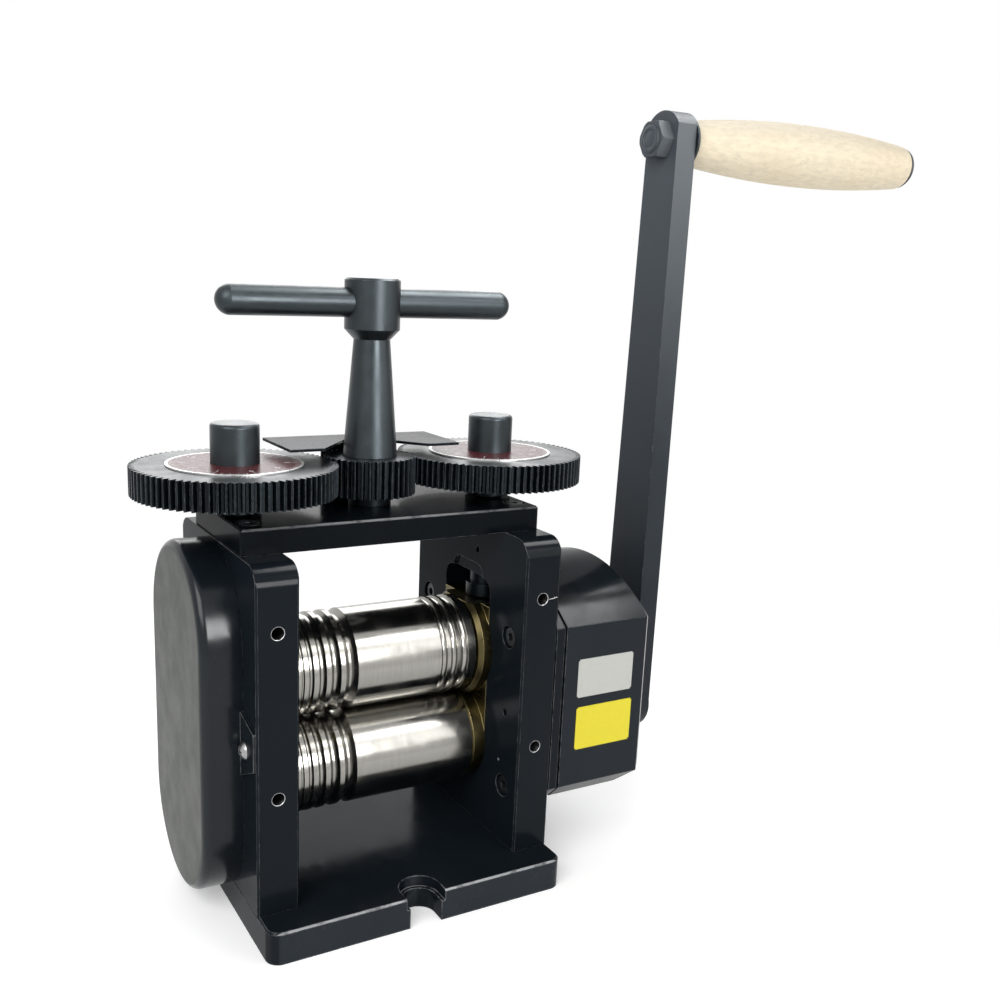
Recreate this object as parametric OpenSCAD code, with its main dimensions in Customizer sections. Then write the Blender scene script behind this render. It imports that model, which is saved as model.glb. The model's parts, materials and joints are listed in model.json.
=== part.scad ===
// Hand-cranked two-high rolling mill for jewellery metal.
// X runs along the rolls, Y from the feed side to the back, Z up.
// The origin is the centre of the base's underside. Millimetres.

/* [Rolls] */
// Length of the roll faces
roll_len = 110; // [96:1:130]
// Radius of the rolls
roll_r = 27.5; // [25:0.5:28]
// Nip left between the rolls when they are closed
roll_gap = 0.5; // [0.2:0.1:1]
// Height of the lower roll's axis over the bench
lower_axis_h = 66.2; // [64:0.2:72]
// Radius of the roll journals
journal_r = 15; // [13:0.5:16]
// Chamfer at the ends of the roll faces
roll_chamfer = 1; // [0.4:0.1:1.6]
// Gap between a roll's end and its bearing flange
roll_end_gap = 0.2; // [0.1:0.05:0.5]

/* [Frame] */
// Thickness of the base plate
base_h = 17; // [14:0.5:24]
// Depth of the base plate from front to back
base_d = 160; // [150:1:200]
// Radius of the base plate's upright corners
base_corner_r = 7; // [4:0.5:16]
// Width of the slots for the bench screws
slot_w = 18; // [12:0.5:20]
// Width of the sunk seat round each slot
slot_seat_w = 22; // [21:0.5:26]
// Depth of that sunk seat
slot_seat_depth = 6; // [3:0.5:9]
// Distance from the base's edge to the centre of the slot's round end
slot_inset = 8.3; // [5:0.1:14]
// Thickness of the side cheeks
cheek_t = 21.5; // [21:0.5:26]
// Depth of the side cheeks from front to back
cheek_d = 124.5; // [120:0.5:136]
// Height of the side cheeks over the base
cheek_h = 177; // [174:1:190]
// Radius of the cheeks' upper corners
cheek_corner_r = 10.7; // [6:0.1:16]
// Chamfer on the machined outer edges
edge_chamfer = 1; // [0.4:0.1:1.6]
// Width of the bearing window in each cheek
window_w = 51.4; // [50:0.2:56]
// Height of the window's top over the upper roll's axis
window_rise = 41.3; // [39:0.1:44]
// Radius of the window's upper corners
window_corner_r = 7.5; // [4:0.5:9]
// Width of the step above the window
window_step_w = 33.2; // [28:0.2:38]
// Height of the step above the window
window_step_h = 6.7; // [4:0.1:8]
// Depth of the step from the cheek's inner face
window_step_depth = 1.5; // [1:0.1:3]
// Radius of the tapped holes in the cheeks' front edges
front_hole_r = 3.4; // [2.5:0.1:4.2]
// Depth of the tapped holes in the cheeks' front edges
front_hole_depth = 18; // [10:1:24]
// Height of the lower tapped holes over the bench
front_hole_low = 78; // [70:1:90]
// Upright distance between the tapped holes of one cheek
front_hole_pitch = 84; // [70:1:90]
// Depth of the top plate from front to back
top_d = 78; // [70:1:90]
// Thickness of the top plate
top_h = 13; // [10:0.5:18]
// Set-back of the top plate's ends from the cheeks' outer faces
top_setback = 0.8; // [0.2:0.1:2]
// Distance between the top plate's screws from front to back
top_screw_pitch = 52; // [44:1:58]
// Offset of the top plate's screws outward from the cheeks' middle
top_screw_shift = 1.75; // [0:0.25:3]

/* [Bearings] */
// Thickness of the bearing flanges against the rolls
flange_t = 7.3; // [5:0.1:9]
// Radius of the upper bearings' flanges
flange_r = 30.5; // [29:0.5:33]
// Radius of the lower bearings' flanges
lower_flange_r = 27; // [26:0.5:31]
// Height of the flat on the flange at the nip
nip_flat = 27.5; // [24:0.5:27.5]
// Height of the flat top of the upper bearing over its axis
bearing_top = 26.3; // [24:0.1:30]
// Chamfer round the upper bearings' flanges
flange_chamfer = 2.2; // [0.5:0.1:2.5]
// Chamfer round the lower bearings' flanges
lower_flange_chamfer = 0.5; // [0.2:0.1:2.5]
// Radius of the pockets for the lift springs
pocket_r = 3.6; // [3.2:0.1:4]
// Depth of those pockets
pocket_depth = 12; // [8:0.5:16]
// Distance of the pockets from the roll axis
pocket_offset = 20.4; // [19.5:0.1:21]
// Wire radius of the lift springs
spring_wire_r = 0.6; // [0.4:0.05:0.7]

/* [Screw-down gears] */
// Radius of the two adjusting screws
screw_r = 8; // [7:0.5:8.5]
// Number of teeth on each screw gear
screw_teeth = 82; // [70:2:90]
// Number of teeth on the centre pinion
pinion_teeth = 38; // [30:2:44]
// Height of the screw gears
screw_gear_h = 14.5; // [10:0.5:17]
// Height of the screw gears' underside over the top plate
screw_gear_lift = 10; // [8:0.5:12]
// Height of the centre pinion
pinion_h = 19.8; // [16:0.1:22]
// Height of the pinion's underside over the top plate
pinion_lift = 6; // [5:0.5:7]
// Radius of the plain neck under the pinion
pinion_neck_r = 11.5; // [10:0.5:13]
// Radius of the round dials
dial_r = 34; // [24:0.5:40]
// Thickness of the dials
dial_t = 0.8; // [0.5:0.1:1]
// Radius of the cap nuts on the screws
hub_r = 12.2; // [10:0.1:15]
// Height of the cap nuts
hub_h = 20.8; // [16:0.1:26]
// Radius of the cap nuts' rounded upper edge
hub_round_r = 2; // [0.5:0.1:4]
// Radius of the collar under each screw gear
screw_collar_r = 12.8; // [11:0.1:14]
// Radius of the foot of each adjusting screw
screw_foot_r = 10.4; // [9:0.1:10.4]
// Height of that foot
screw_foot_h = 8; // [5:0.5:8]

/* [Handle column] */
// Radius of the column's foot on the pinion
column_foot_r = 14.3; // [11:0.1:15]
// Radius of the column's waist
column_waist_r = 9.5; // [7:0.1:11]
// Height of the tapered part of the column
column_taper_h = 60.4; // [45:0.1:80]
// Height of the flare under the head
column_flare_h = 5.1; // [3:0.1:8]
// Radius of the head
head_r = 14.4; // [12:0.1:17]
// Height of the head
head_h = 25.7; // [22:0.1:32]
// Radius of the cross bar
bar_r = 7.5; // [5:0.1:8]
// Length of the cross bar
bar_len = 161.2; // [120:0.1:200]
// Shift of the bar's middle from the column's axis
bar_shift = -1.1; // [-4:0.1:4]
// Height of the bar's domed ends as a share of its radius
bar_dome_share = 0.87; // [0.4:0.01:0.98]
// Height of the bar's axis over the head's underside
bar_rise = 13.4; // [11:0.1:14]
// Turn of the bar about the column
bar_turn = -1.6; // [-90:0.1:90]

/* [Pointer plate] */
// Thickness of the pointer plate's sheet
sheet_t = 1.5; // [1:0.1:1.6]
// Half-width of the pointer plate
pointer_half = 48; // [42:0.5:52]
// Front edge of the pointer plate from the column's axis
pointer_front = 10; // [6:0.5:14]
// Back edge of the pointer plate from the column's axis
pointer_back = 32.5; // [30:0.5:36]
// Half-width of the notch at the plate's front edge
notch_front_half = 29.5; // [26:0.5:33]
// Half-width of the notch at its flat end
notch_end_half = 8; // [7:0.5:10]
// Depth of the notch's flat end behind the column's axis
notch_end = 15.7; // [15.7:0.1:18]
// Half-width of the upright web behind the pinion
web_half = 15; // [12:0.5:17]
// Depth of the foot on the top plate
foot_d = 11; // [9:0.5:12]

/* [Gear cover] */
// Radius of the cover's round ends
cover_r = 46.8; // [44:0.1:50]
// Height of the cover's lower round centre over the bench
cover_low = 53.9; // [50:0.1:60]
// Height of the cover's upper round centre over the bench
cover_high = 146.8; // [140:0.1:150]
// Depth of the cover
cover_depth = 20.5; // [20:0.1:26]
// Radius of the cover's outer edge
cover_edge_r = 4.5; // [2:0.1:8]
// Shift of the cover to the back
cover_shift = 4.3; // [0:0.1:5]
// Height of the fixing screws of the cover over the bench
ear_screw_h = 100.2; // [98:0.1:106]

/* [Coupling gears] */
// Number of teeth on each coupling gear
coupling_teeth = 14; // [14:2:18]
// Width of the coupling gears
coupling_w = 13.5; // [10:0.5:14]

/* [Gearbox] */
// Thickness of the gearbox's flange plate
plate_t = 5; // [4:0.5:7]
// Depth and width of the groove behind the flange plate
groove = 1.5; // [1:0.1:2]
// Length of the gearbox housing
housing_len = 57.2; // [56.5:0.1:64]
// Wall of the gearbox housing
housing_wall = 4; // [3:0.5:5]
// Height of the gearbox's underside over the bench
housing_low = 41; // [38:0.5:43]
// Height of the crest of the arched top over the bench
housing_crest = 166.8; // [160:0.1:180]
// Radius of the arched top
housing_arch_r = 95.8; // [90:0.1:110]
// Chamfer along the gearbox's lower edges
housing_low_chamfer = 9; // [5:0.5:12]
// Chamfer round the gearbox's outer end
housing_end_chamfer = 3; // [1:0.5:4]
// Size of the slanting cut at the housing's lower outer corner
housing_corner_cut = 11.5; // [3:0.5:11.5]

/* [Gear train] */
// Distance between the crank's axis and the countershaft
train_centres = 37.5; // [36:0.1:39]
// Teeth on the crank's pinion
crank_teeth = 16; // [16:4:16]
// Teeth on the countershaft's wheel
wheel_teeth = 40; // [40:4:40]
// Teeth on the countershaft's pinion and on the roll's gear
transfer_teeth = 28; // [24:4:28]
// Width of the gears on the crank side
first_pair_w = 16; // [12:0.5:17]
// Width of the gears on the roll side
second_pair_w = 14; // [10:0.5:14]

/* [Crank] */
// Radius of the crank shaft
crank_shaft_r = 10; // [8:0.5:11]
// Distance of the arm from the gearbox
arm_gap = 27; // [18:0.5:40]
// Thickness of the arm
arm_t = 13.3; // [9:0.1:16]
// Width of the arm at the handle
arm_w = 27; // [26:0.5:32]
// Radius of the arm's end round the handle's bolt
arm_tip_r = 16; // [15:0.5:18]
// Radius of the arm's end round the crank shaft
arm_root_r = 18; // [16:0.5:20]
// Turn of the arm from upright
arm_turn = 1; // [-90:0.1:90]
// Distance from the crank's axis to the handle's axis
arm_reach = 339.6; // [200:0.1:380]
// Radius of the boss behind the arm
arm_boss_r = 16; // [14:0.5:17]
// Radius of the washer on the arm
crank_washer_r = 12; // [10:0.1:20]
// Thickness of the washer on the arm
crank_washer_t = 2; // [1.5:0.1:5]

/* [Wooden handle] */
// Length of the wooden handle
handle_len = 179; // [120:1:200]
// Largest radius of the handle
handle_r = 18.1; // [16:0.1:21]
// Radius of the handle's long curve
handle_curve_r = 720; // [600:10:1200]
// Place of the thickest part as a share of the length
handle_peak_share = 0.52; // [0.4:0.01:0.6]
// Radius of the handle bolt
handle_bolt_r = 4; // [3:0.5:5]
// Radius of the collar between arm and handle
handle_collar_r = 16; // [12:0.5:18]
// Thickness of that collar
handle_collar_t = 2.2; // [2:0.1:6]

/* [Fits] */
// Radial clearance of turning and sliding fits
running_fit = 0.05; // [0.02:0.01:0.1]
// Clearance of parts that are bolted or keyed together
seat_fit = 0.03; // [0.01:0.01:0.05]
// Gap beside gears and end faces that pass each other
side_gap = 0.3; // [0.2:0.05:0.5]

/* [Hidden] */
$fn = 72;

// Overrun of every cut past the face that it opens
overrun = 1;

// Places along X, from the mill's middle outward
inner_half = roll_len / 2 + roll_end_gap + flange_t;
outer_half = inner_half + cheek_t;
cheek_mid = inner_half + cheek_t / 2;
base_w = 2 * outer_half;

// Heights
upper_axis_h = lower_axis_h + 2 * roll_r + roll_gap;
window_top = upper_axis_h + window_rise;
cheek_top = base_h + cheek_h;
plate_top = cheek_top + top_h;
screw_gear_z = plate_top + screw_gear_lift;
screw_gear_top = screw_gear_z + screw_gear_h;
pinion_z = plate_top + pinion_lift;
pinion_top = pinion_z + pinion_h;

// The rolls open by this much when the pinion turns
lift_travel = 5;

// Gap between the top plate and the screw gears' collars
collar_gap = 1;

// Screws: radius and height of the head, radius and length of the shank
base_screw_head_r = 6.5;
base_screw_head_h = 8;
base_screw_r = 4;
base_screw_bite = 20;
base_screw_y = 45;
plate_screw_head_r = 5;
plate_screw_head_h = 6;
plate_screw_r = 3;
plate_screw_bite = 16;
counterbore_gap = 1;
key_share = 0.5;
key_depth_share = 0.55;

// Grooves as shares of the roll's length: place of the middle, width, width of the floor
square_groove_shares = [[0.0695, 0.0155, 0.005], [0.1118, 0.0257, 0.008], [0.1682, 0.0386, 0.01],
    [0.2359, 0.0505, 0.011], [0.3173, 0.065, 0.011]];
wire_groove_shares = [[0.8136, 0.0327], [0.8682, 0.0345], [0.9264, 0.0427]];

// Seats of the gears on the roll ends
seat_r = 12;
seat_flat = 11.2;
circlip_groove_r = 10.8;
circlip_t = 1.2;
circlip_r = 14;
circlip_mouth_share = 0.5;
seat_tail = 1;
coupling_x = outer_half + 4 * side_gap;
coupling_module = (2 * roll_r + roll_gap) / coupling_teeth;
coupling_backlash = 0.4;
coupling_end_x = coupling_x + coupling_w;

// Involute gears
pressure_angle = 20;
dedendum_share = 1.25;
flank_shares = [0, 0.5, 1];
coupling_flank_shares = [0, 0.25, 0.5, 0.75, 1];
screw_module = 2 * cheek_mid / (screw_teeth + pinion_teeth);
screw_backlash = 0.15;
first_module = 2 * train_centres / (crank_teeth + wheel_teeth);
second_module = 2 * train_centres / (2 * transfer_teeth);
train_backlash = 0.12;

// Gearbox places along X and its shafts
housing_x = outer_half + plate_t + groove;
housing_end_x = housing_x + housing_len;
second_pair_x = outer_half + plate_t + groove + 4 * side_gap;
second_pair_end_x = second_pair_x + second_pair_w;
first_pair_x = second_pair_end_x + 4.5;
first_pair_end_x = first_pair_x + first_pair_w;
counter_h = lower_axis_h + train_centres;
boss_x = first_pair_end_x + 4 * side_gap;
arch_z = housing_crest - housing_arch_r;
journal_hole_gap = 1;
counter_r = 8;
counter_flat = 7.2;
bush_wall = 3;
bush_rim = 2.5;
crank_boss_r = crank_shaft_r + bush_wall + 4;
counter_boss_r = counter_r + bush_wall + 3;
pillar_r = 8;
pillar_blend = 3;
pillar_y = cheek_d / 2 - housing_wall - pillar_r + pillar_blend;
pillar_low = housing_low + housing_corner_cut + pillar_r;
pillar_high = 135;
flange_screw_y = 47;
flange_screw_low = 50.5;
flange_screw_high = 137.5;
flange_seat_r = 6.25;
flange_seat_depth = 7;
flange_head_sink = 1.2;
oil_hole_r = 2;
oil_hole_depth = 8;
oil_hole_places = [[-flange_screw_y, 93.8], [-10, 178]];

// Crank and handle
arm_x = housing_end_x + arm_gap;
arm_end_x = arm_x + arm_t;
arm_square = 14;
arm_neck_share = 0.975;
handle_y = -arm_reach * sin(arm_turn);
handle_z = lower_axis_h + arm_reach * cos(arm_turn);
crank_stud_r = 5;
crank_nut_r = 9.2;
crank_nut_h = 5;
handle_x = arm_end_x + handle_collar_t + side_gap;
bolt_head_r = 11;
bolt_head_h = 8.2;
end_nut_r = 9.5;
end_nut_t = 2.5;
handle_edge = 1.5;

// Cover ears, as heights over the bench
ear_root_low = 84;
ear_root_high = 118;
ear_tip_low = 94;
ear_tip_high = 113;
ear_tip_y = 61.7;
ear_front_screw_y = 48.5;
ear_back_screw_y = 56.4;
ear_screw_r = 2.5;
ear_head_r = 4.6;
ear_head_h = 2.8;
ear_screw_bite = 9;
cross_slot_share = 0.22;

// Pointer plate
pointer_z = screw_gear_top + dial_t + lift_travel + side_gap;
pointer_screw_x = 9;
pointer_screw_r = 2;
pointer_head_r = 3.4;
pointer_head_h = 2.2;
pointer_screw_bite = 8;
pointer_screw_inset = 5.2;

// Parts under the top plate
lower_washer_r = 13;
lower_washer_t = 3;
lower_head_r = 6;
lower_head_h = 3.5;
adjuster_journal_r = 8;

// Lift springs
spring_r = pocket_r - spring_wire_r - side_gap;
spring_low = lower_axis_h + nip_flat - pocket_depth;
spring_high = upper_axis_h - nip_flat + pocket_depth;
spring_curls = 6;
rings_per_curl = 8;
wire_sides = 6;

// Frame colours
enamel = "#17191d";
black_oxide = "#2b2d31";
polished = "#c9ccd0";
bare_steel = "#8f9296";
bronze = "#b98a3c";

// Turns a shape drawn in X and Y so that it lies in Y and Z and rises along X
module along_x() {
    rotate([90, 0, 90]) children();
}

// Repeats a part of the right side on the left side
module left_side() {
    mirror([1, 0, 0]) children();
}

// Block with rounded upright corners and a chamfered upper edge
module chamfered_slab(w, d, h, corner, chamfer) {
    for (x = [-1, 1], y = [-1, 1]) translate([x * (w / 2 - corner), y * (d / 2 - corner), 0]) {
        cylinder(h = h - chamfer, r = corner);
        translate([0, 0, h - chamfer]) cylinder(h = chamfer, r1 = corner, r2 = corner - chamfer);
    }
    rotate([90, 0, 0]) translate([0, 0, corner - d / 2])
        linear_extrude(d - 2 * corner) chamfered_section(w, h, chamfer);
    rotate([90, 0, 90]) translate([0, 0, corner - w / 2])
        linear_extrude(w - 2 * corner) chamfered_section(d, h, chamfer);
}

// Upright section of such a block
module chamfered_section(w, h, chamfer) {
    polygon([[-w / 2, 0], [w / 2, 0], [w / 2, h - chamfer], [w / 2 - chamfer, h],
        [chamfer - w / 2, h], [-w / 2, h - chamfer]]);
}

// Rectangle that stands on the X axis with two rounded upper corners
module arched_square(w, h, corner) {
    translate([-w / 2, 0]) square([w, h - corner]);
    translate([corner - w / 2, 0]) square([w - 2 * corner, h]);
    for (x = [-1, 1]) translate([x * (w / 2 - corner), h - corner]) circle(corner);
}

// Round bar with two flats, which drives a gear
module flatted_circle(r, flat, gap = 0) {
    intersection() {
        circle(r + gap);
        square([2 * (r + gap), 2 * (flat + gap)], center = true);
    }
}

function involute(r, base_r) =
    r <= base_r ? 0 : sqrt(pow(r / base_r, 2) - 1) * 180 / PI - acos(base_r / r);

// Half the angle of a tooth at a radius
function tooth_half(r, teeth, pitch_r, backlash) =
    let (base_r = pitch_r * cos(pressure_angle))
    90 / teeth - backlash * 90 / (PI * pitch_r) + involute(pitch_r, base_r) - involute(r, base_r);

// Outline of a spur gear whose first tooth points along X
function gear_points(teeth, tooth_module, backlash, shares) =
    let (pitch_r = teeth * tooth_module / 2,
        tip_r = pitch_r + tooth_module,
        root_r = pitch_r - dedendum_share * tooth_module,
        last = len(shares) - 1)
    [for (tooth = [0:teeth - 1], side = [-1, 1], step = [0:last])
        let (share = side < 0 ? shares[step] : shares[last - step],
            r = root_r + (tip_r - root_r) * share,
            angle = 360 * tooth / teeth + side * tooth_half(r, teeth, pitch_r, backlash))
        [r * cos(angle), r * sin(angle)]];

module spur_gear(teeth, tooth_module, width, backlash, shares = flank_shares) {
    linear_extrude(width) polygon(gear_points(teeth, tooth_module, backlash, shares));
}

// Socket screw whose head's top lies at zero and whose shank points down
module socket_screw(head_r, head_h, shank_r, shank_len) {
    difference() {
        union() {
            translate([0, 0, -head_h]) cylinder(h = head_h, r = head_r);
            translate([0, 0, -head_h - shank_len]) cylinder(h = shank_len + seat_fit, r = shank_r);
        }
        translate([0, 0, -head_h * key_depth_share])
            cylinder(h = head_h, r = head_r * key_share, $fn = 6);
    }
}

// Hole for such a screw
module socket_hole(head_r, head_h, shank_r, shank_len) {
    translate([0, 0, -head_h]) cylinder(h = head_h + overrun, r = head_r + counterbore_gap);
    translate([0, 0, -head_h - shank_len - overrun])
        cylinder(h = shank_len + 2 * overrun, r = shank_r + seat_fit);
}

// Domed screw with a cross slot, on a face at zero
module pan_screw(head_r, head_h, shank_r, shank_len) {
    dome_r = (head_r * head_r + head_h * head_h) / (2 * head_h);
    slot = head_r * cross_slot_share;
    difference() {
        union() {
            intersection() {
                cylinder(h = head_h, r = head_r);
                translate([0, 0, head_h - dome_r]) sphere(dome_r);
            }
            translate([0, 0, -shank_len]) cylinder(h = shank_len + seat_fit, r = shank_r);
        }
        for (turn = [0, 90]) rotate(turn)
            translate([-head_r / 2, -slot / 2, head_h / 2]) cube([head_r, slot, head_h]);
    }
}

// Base with an open slot for a bench screw at the front and at the back
module base_plate() {
    color(enamel) difference() {
        chamfered_slab(base_w, base_d, base_h, base_corner_r, edge_chamfer);
        for (turn = [0, 180]) rotate(turn) translate([0, slot_inset - base_d / 2, 0]) {
            translate([0, 0, -overrun]) bench_slot(slot_w, base_h + 2 * overrun);
            translate([0, 0, base_h - slot_seat_depth])
                bench_slot(slot_seat_w, slot_seat_depth + overrun);
        }
        base_screw_places() rotate([180, 0, 0])
            socket_hole(base_screw_head_r, base_screw_head_h, base_screw_r, base_h);
    }
}

module bench_slot(w, h) {
    cylinder(h = h, r = w / 2);
    translate([-w / 2, -slot_inset - overrun, 0]) cube([w, slot_inset + overrun, h]);
}

module base_screw_places() {
    for (x = [-1, 1], y = [-1, 1]) translate([x * cheek_mid, y * base_screw_y, 0]) children();
}

module base_screws() {
    color(black_oxide) base_screw_places() translate([0, 0, side_gap]) rotate([180, 0, 0])
        socket_screw(base_screw_head_r, base_screw_head_h - side_gap, base_screw_r,
            base_h - base_screw_head_h + base_screw_bite);
}

// Right cheek: outline, window for the bearings and its screw holes
module cheek_body() {
    difference() {
        intersection() {
            translate([inner_half, 0, base_h]) along_x()
                linear_extrude(cheek_t) arched_square(cheek_d, cheek_h, cheek_corner_r);
            translate([cheek_mid, 0, base_h]) linear_extrude(cheek_h) cheek_section();
        }
        translate([inner_half - overrun, 0, 0]) along_x()
            linear_extrude(cheek_t + 2 * overrun) window_outline();
        translate([inner_half - overrun, 0, upper_axis_h]) along_x()
            linear_extrude(window_step_depth + overrun)
            arched_square(window_step_w, window_rise + window_step_h, window_step_h);
        translate([cheek_mid, 0, window_top]) cylinder(h = cheek_top, r = screw_r + running_fit);
        for (z = [front_hole_low, front_hole_low + front_hole_pitch])
            translate([cheek_mid, -cheek_d / 2 - overrun, z]) rotate([-90, 0, 0])
                cylinder(h = front_hole_depth + overrun, r = front_hole_r);
        for (y = [-1, 1]) {
            translate([cheek_mid, y * base_screw_y, base_h - overrun])
                cylinder(h = base_screw_bite + 2 * overrun, r = base_screw_r + seat_fit);
            translate([cheek_mid + top_screw_shift, y * top_screw_pitch / 2, cheek_top])
                translate([0, 0, -plate_screw_bite])
                cylinder(h = plate_screw_bite + overrun, r = plate_screw_r + seat_fit);
        }
    }
}

// Level section of a cheek with its four chamfered upright edges
module cheek_section() {
    polygon([for (corner = [[-1, -1], [1, -1], [1, 1], [-1, 1]], end = [0, 1])
        let (along = (corner[0] == corner[1]) ? end : 1 - end)
        [corner[0] * (cheek_t / 2 - along * edge_chamfer),
            corner[1] * (cheek_d / 2 - (1 - along) * edge_chamfer)]]);
}

// The window is round below the lower bearing
module window_outline() {
    translate([0, lower_axis_h]) {
        circle(window_w / 2);
        arched_square(window_w, window_top - lower_axis_h, window_corner_r);
    }
}

module left_cheek() {
    color(enamel) difference() {
        left_side() cheek_body();
        for (place = [-ear_front_screw_y, ear_back_screw_y])
            translate([-outer_half - overrun, place, ear_screw_h]) along_x()
                cylinder(h = ear_screw_bite + 2 * overrun, r = ear_screw_r + seat_fit);
    }
}

module right_cheek() {
    color(enamel) difference() {
        cheek_body();
        flange_screw_places() {
            translate([0, 0, -overrun])
                cylinder(h = flange_seat_depth + overrun, r = flange_seat_r);
            cylinder(h = cheek_t + overrun, r = plate_screw_r + seat_fit);
        }
        for (place = oil_hole_places) translate([inner_half - overrun, place[0], place[1]])
            along_x() cylinder(h = oil_hole_depth + overrun, r = oil_hole_r);
    }
}

// Places of the screws that hold the gearbox from inside the right cheek
module flange_screw_places() {
    for (y = [-1, 1], z = [flange_screw_low, flange_screw_high])
        translate([inner_half, y * flange_screw_y, z]) along_x() children();
}

module top_plate() {
    color(enamel) difference() {
        translate([0, 0, cheek_top])
            chamfered_slab(base_w - 2 * top_setback, top_d, top_h, 2 * edge_chamfer, edge_chamfer);
        for (x = [-1, 1]) translate([x * cheek_mid, 0, cheek_top - overrun])
            cylinder(h = top_h + 2 * overrun, r = screw_r + journal_hole_gap / 2);
        translate([0, 0, cheek_top - overrun])
            cylinder(h = top_h + 2 * overrun, r = adjuster_journal_r + running_fit);
        top_screw_places()
            socket_hole(plate_screw_head_r, plate_screw_head_h, plate_screw_r, top_h);
        pointer_screw_places() translate([0, 0, -pointer_screw_bite - overrun])
            cylinder(h = pointer_screw_bite + 2 * overrun, r = pointer_screw_r + seat_fit);
    }
}

module top_screw_places() {
    for (x = [-1, 1], y = [-1, 1])
        translate([x * (cheek_mid + top_screw_shift), y * top_screw_pitch / 2, plate_top])
            children();
}

module top_plate_screws() {
    color(black_oxide) top_screw_places() socket_screw(plate_screw_head_r, plate_screw_head_h,
        plate_screw_r, top_h - plate_screw_head_h + plate_screw_bite - side_gap);
}

// Flange of a bearing, chamfered on the roll's side and cut flat at two heights
module bearing_flange(radius, chamfer, low, high) {
    intersection() {
        union() {
            cylinder(h = chamfer, r1 = radius - chamfer, r2 = radius);
            translate([0, 0, chamfer])
                cylinder(h = flange_t - chamfer - running_fit, r = radius);
        }
        translate([-radius, low, 0]) cube([2 * radius, high - low, flange_t]);
    }
}

// Bore and the two spring pockets, which open at the nip side
module bearing_cuts(nip_side) {
    translate([0, 0, -overrun])
        cylinder(h = flange_t + cheek_t + 2 * overrun, r = journal_r + running_fit);
    for (y = [-1, 1])
        translate([y * pocket_offset, nip_side * nip_flat, flange_t + cheek_t / 2])
            rotate([nip_side * 90, 0, 0])
            translate([0, 0, -overrun]) cylinder(h = pocket_depth + overrun, r = pocket_r);
}

module lower_bearing() {
    half = window_w / 2 - running_fit;
    translate([roll_len / 2 + roll_end_gap, 0, lower_axis_h]) along_x() difference() {
        union() {
            bearing_flange(lower_flange_r, lower_flange_chamfer, -lower_flange_r, nip_flat);
            translate([0, 0, flange_t - running_fit])
                linear_extrude(cheek_t + running_fit - side_gap) union() {
                    circle(half);
                    translate([-half, 0]) square([2 * half, nip_flat]);
                }
        }
        bearing_cuts(1);
    }
}

module upper_bearing() {
    half = window_w / 2 - running_fit;
    translate([roll_len / 2 + roll_end_gap, 0, upper_axis_h]) along_x() difference() {
        union() {
            bearing_flange(flange_r, flange_chamfer, -nip_flat, bearing_top);
            translate([-half, -nip_flat, flange_t - running_fit])
                cube([2 * half, nip_flat + bearing_top, cheek_t + running_fit - side_gap]);
        }
        bearing_cuts(-1);
    }
}

module lower_left_bearing() {
    color(bronze) left_side() lower_bearing();
}

module lower_right_bearing() {
    color(bronze) lower_bearing();
}

module upper_left_bearing() {
    color(bronze) left_side() upper_bearing();
}

module upper_right_bearing() {
    color(bronze) upper_bearing();
}

// Points of the wire of one lift spring, ring after ring along its coil
function spring_points() =
    let (rings = spring_curls * rings_per_curl,
        rise = spring_high - spring_low - 2 * spring_wire_r - 2 * seat_fit)
    [for (ring = [0:rings], side = [0:wire_sides - 1])
        let (turn = 360 * ring / rings_per_curl,
            around = 360 * side / wire_sides,
            out = spring_r + spring_wire_r * cos(around),
            up = spring_wire_r * (1 + sin(around)) + seat_fit + rise * ring / rings)
        [out * cos(turn), out * sin(turn), spring_low + up]];

// Least distance between neighbouring curls, less the wire's thickness
spring_gap = let (points = spring_points(), step = rings_per_curl * wire_sides)
    min([for (i = [0:len(points) - 1 - step]) norm(points[i + step] - points[i])])
    - 2 * spring_wire_r;
echo(spring_gap = spring_gap);

module lift_spring() {
    rings = spring_curls * rings_per_curl;
    tube = [for (ring = [0:rings - 1], side = [0:wire_sides - 1])
        let (next = (side + 1) % wire_sides, a = ring * wire_sides, b = a + wire_sides)
        each [[a + side, b + side, b + next], [a + side, b + next, a + next]]];
    first = [for (side = [0:wire_sides - 1]) side];
    last = [for (side = [wire_sides - 1:-1:0]) rings * wire_sides + side];
    polyhedron(spring_points(), concat(tube, [first], [last]));
}

module lift_springs() {
    color(bare_steel) for (x = [-1, 1], y = [-1, 1])
        translate([x * cheek_mid, y * pocket_offset, 0]) lift_spring();
}

// Square grooves between the two faces of a roll, along its axis
function groove_points() =
    [for (groove_share = square_groove_shares)
        let (middle = (groove_share[0] - 0.5) * roll_len,
            half = groove_share[1] * roll_len / 2, floor_half = groove_share[2] * roll_len / 2,
            floor_r = roll_r - half + floor_half)
        each [[roll_r, middle - half], [floor_r, middle - floor_half],
            [floor_r, middle + floor_half], [roll_r, middle + half]]];

// Roll with its journals: the left one carries a coupling gear, the right one ends at a length
module roll_solid(right_end) {
    face = roll_len / 2;
    left_end = outer_half + side_gap;
    rotate_extrude() polygon(concat(
        [[0, -left_end], [journal_r, -left_end], [journal_r, -face],
            [roll_r - roll_chamfer, -face], [roll_r, roll_chamfer - face]],
        groove_points(),
        [[roll_r, face - roll_chamfer], [roll_r - roll_chamfer, face], [journal_r, face],
            [journal_r, right_end], [0, right_end]]));
    difference() {
        translate([0, 0, -coupling_end_x - circlip_t - 2 * side_gap - seat_tail])
            linear_extrude(coupling_end_x + circlip_t + 2 * side_gap + seat_tail - left_end + seat_fit)
            flatted_circle(seat_r, seat_flat);
        translate([0, 0, -coupling_end_x - circlip_t - 2 * side_gap]) circlip_groove();
    }
}

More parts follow.
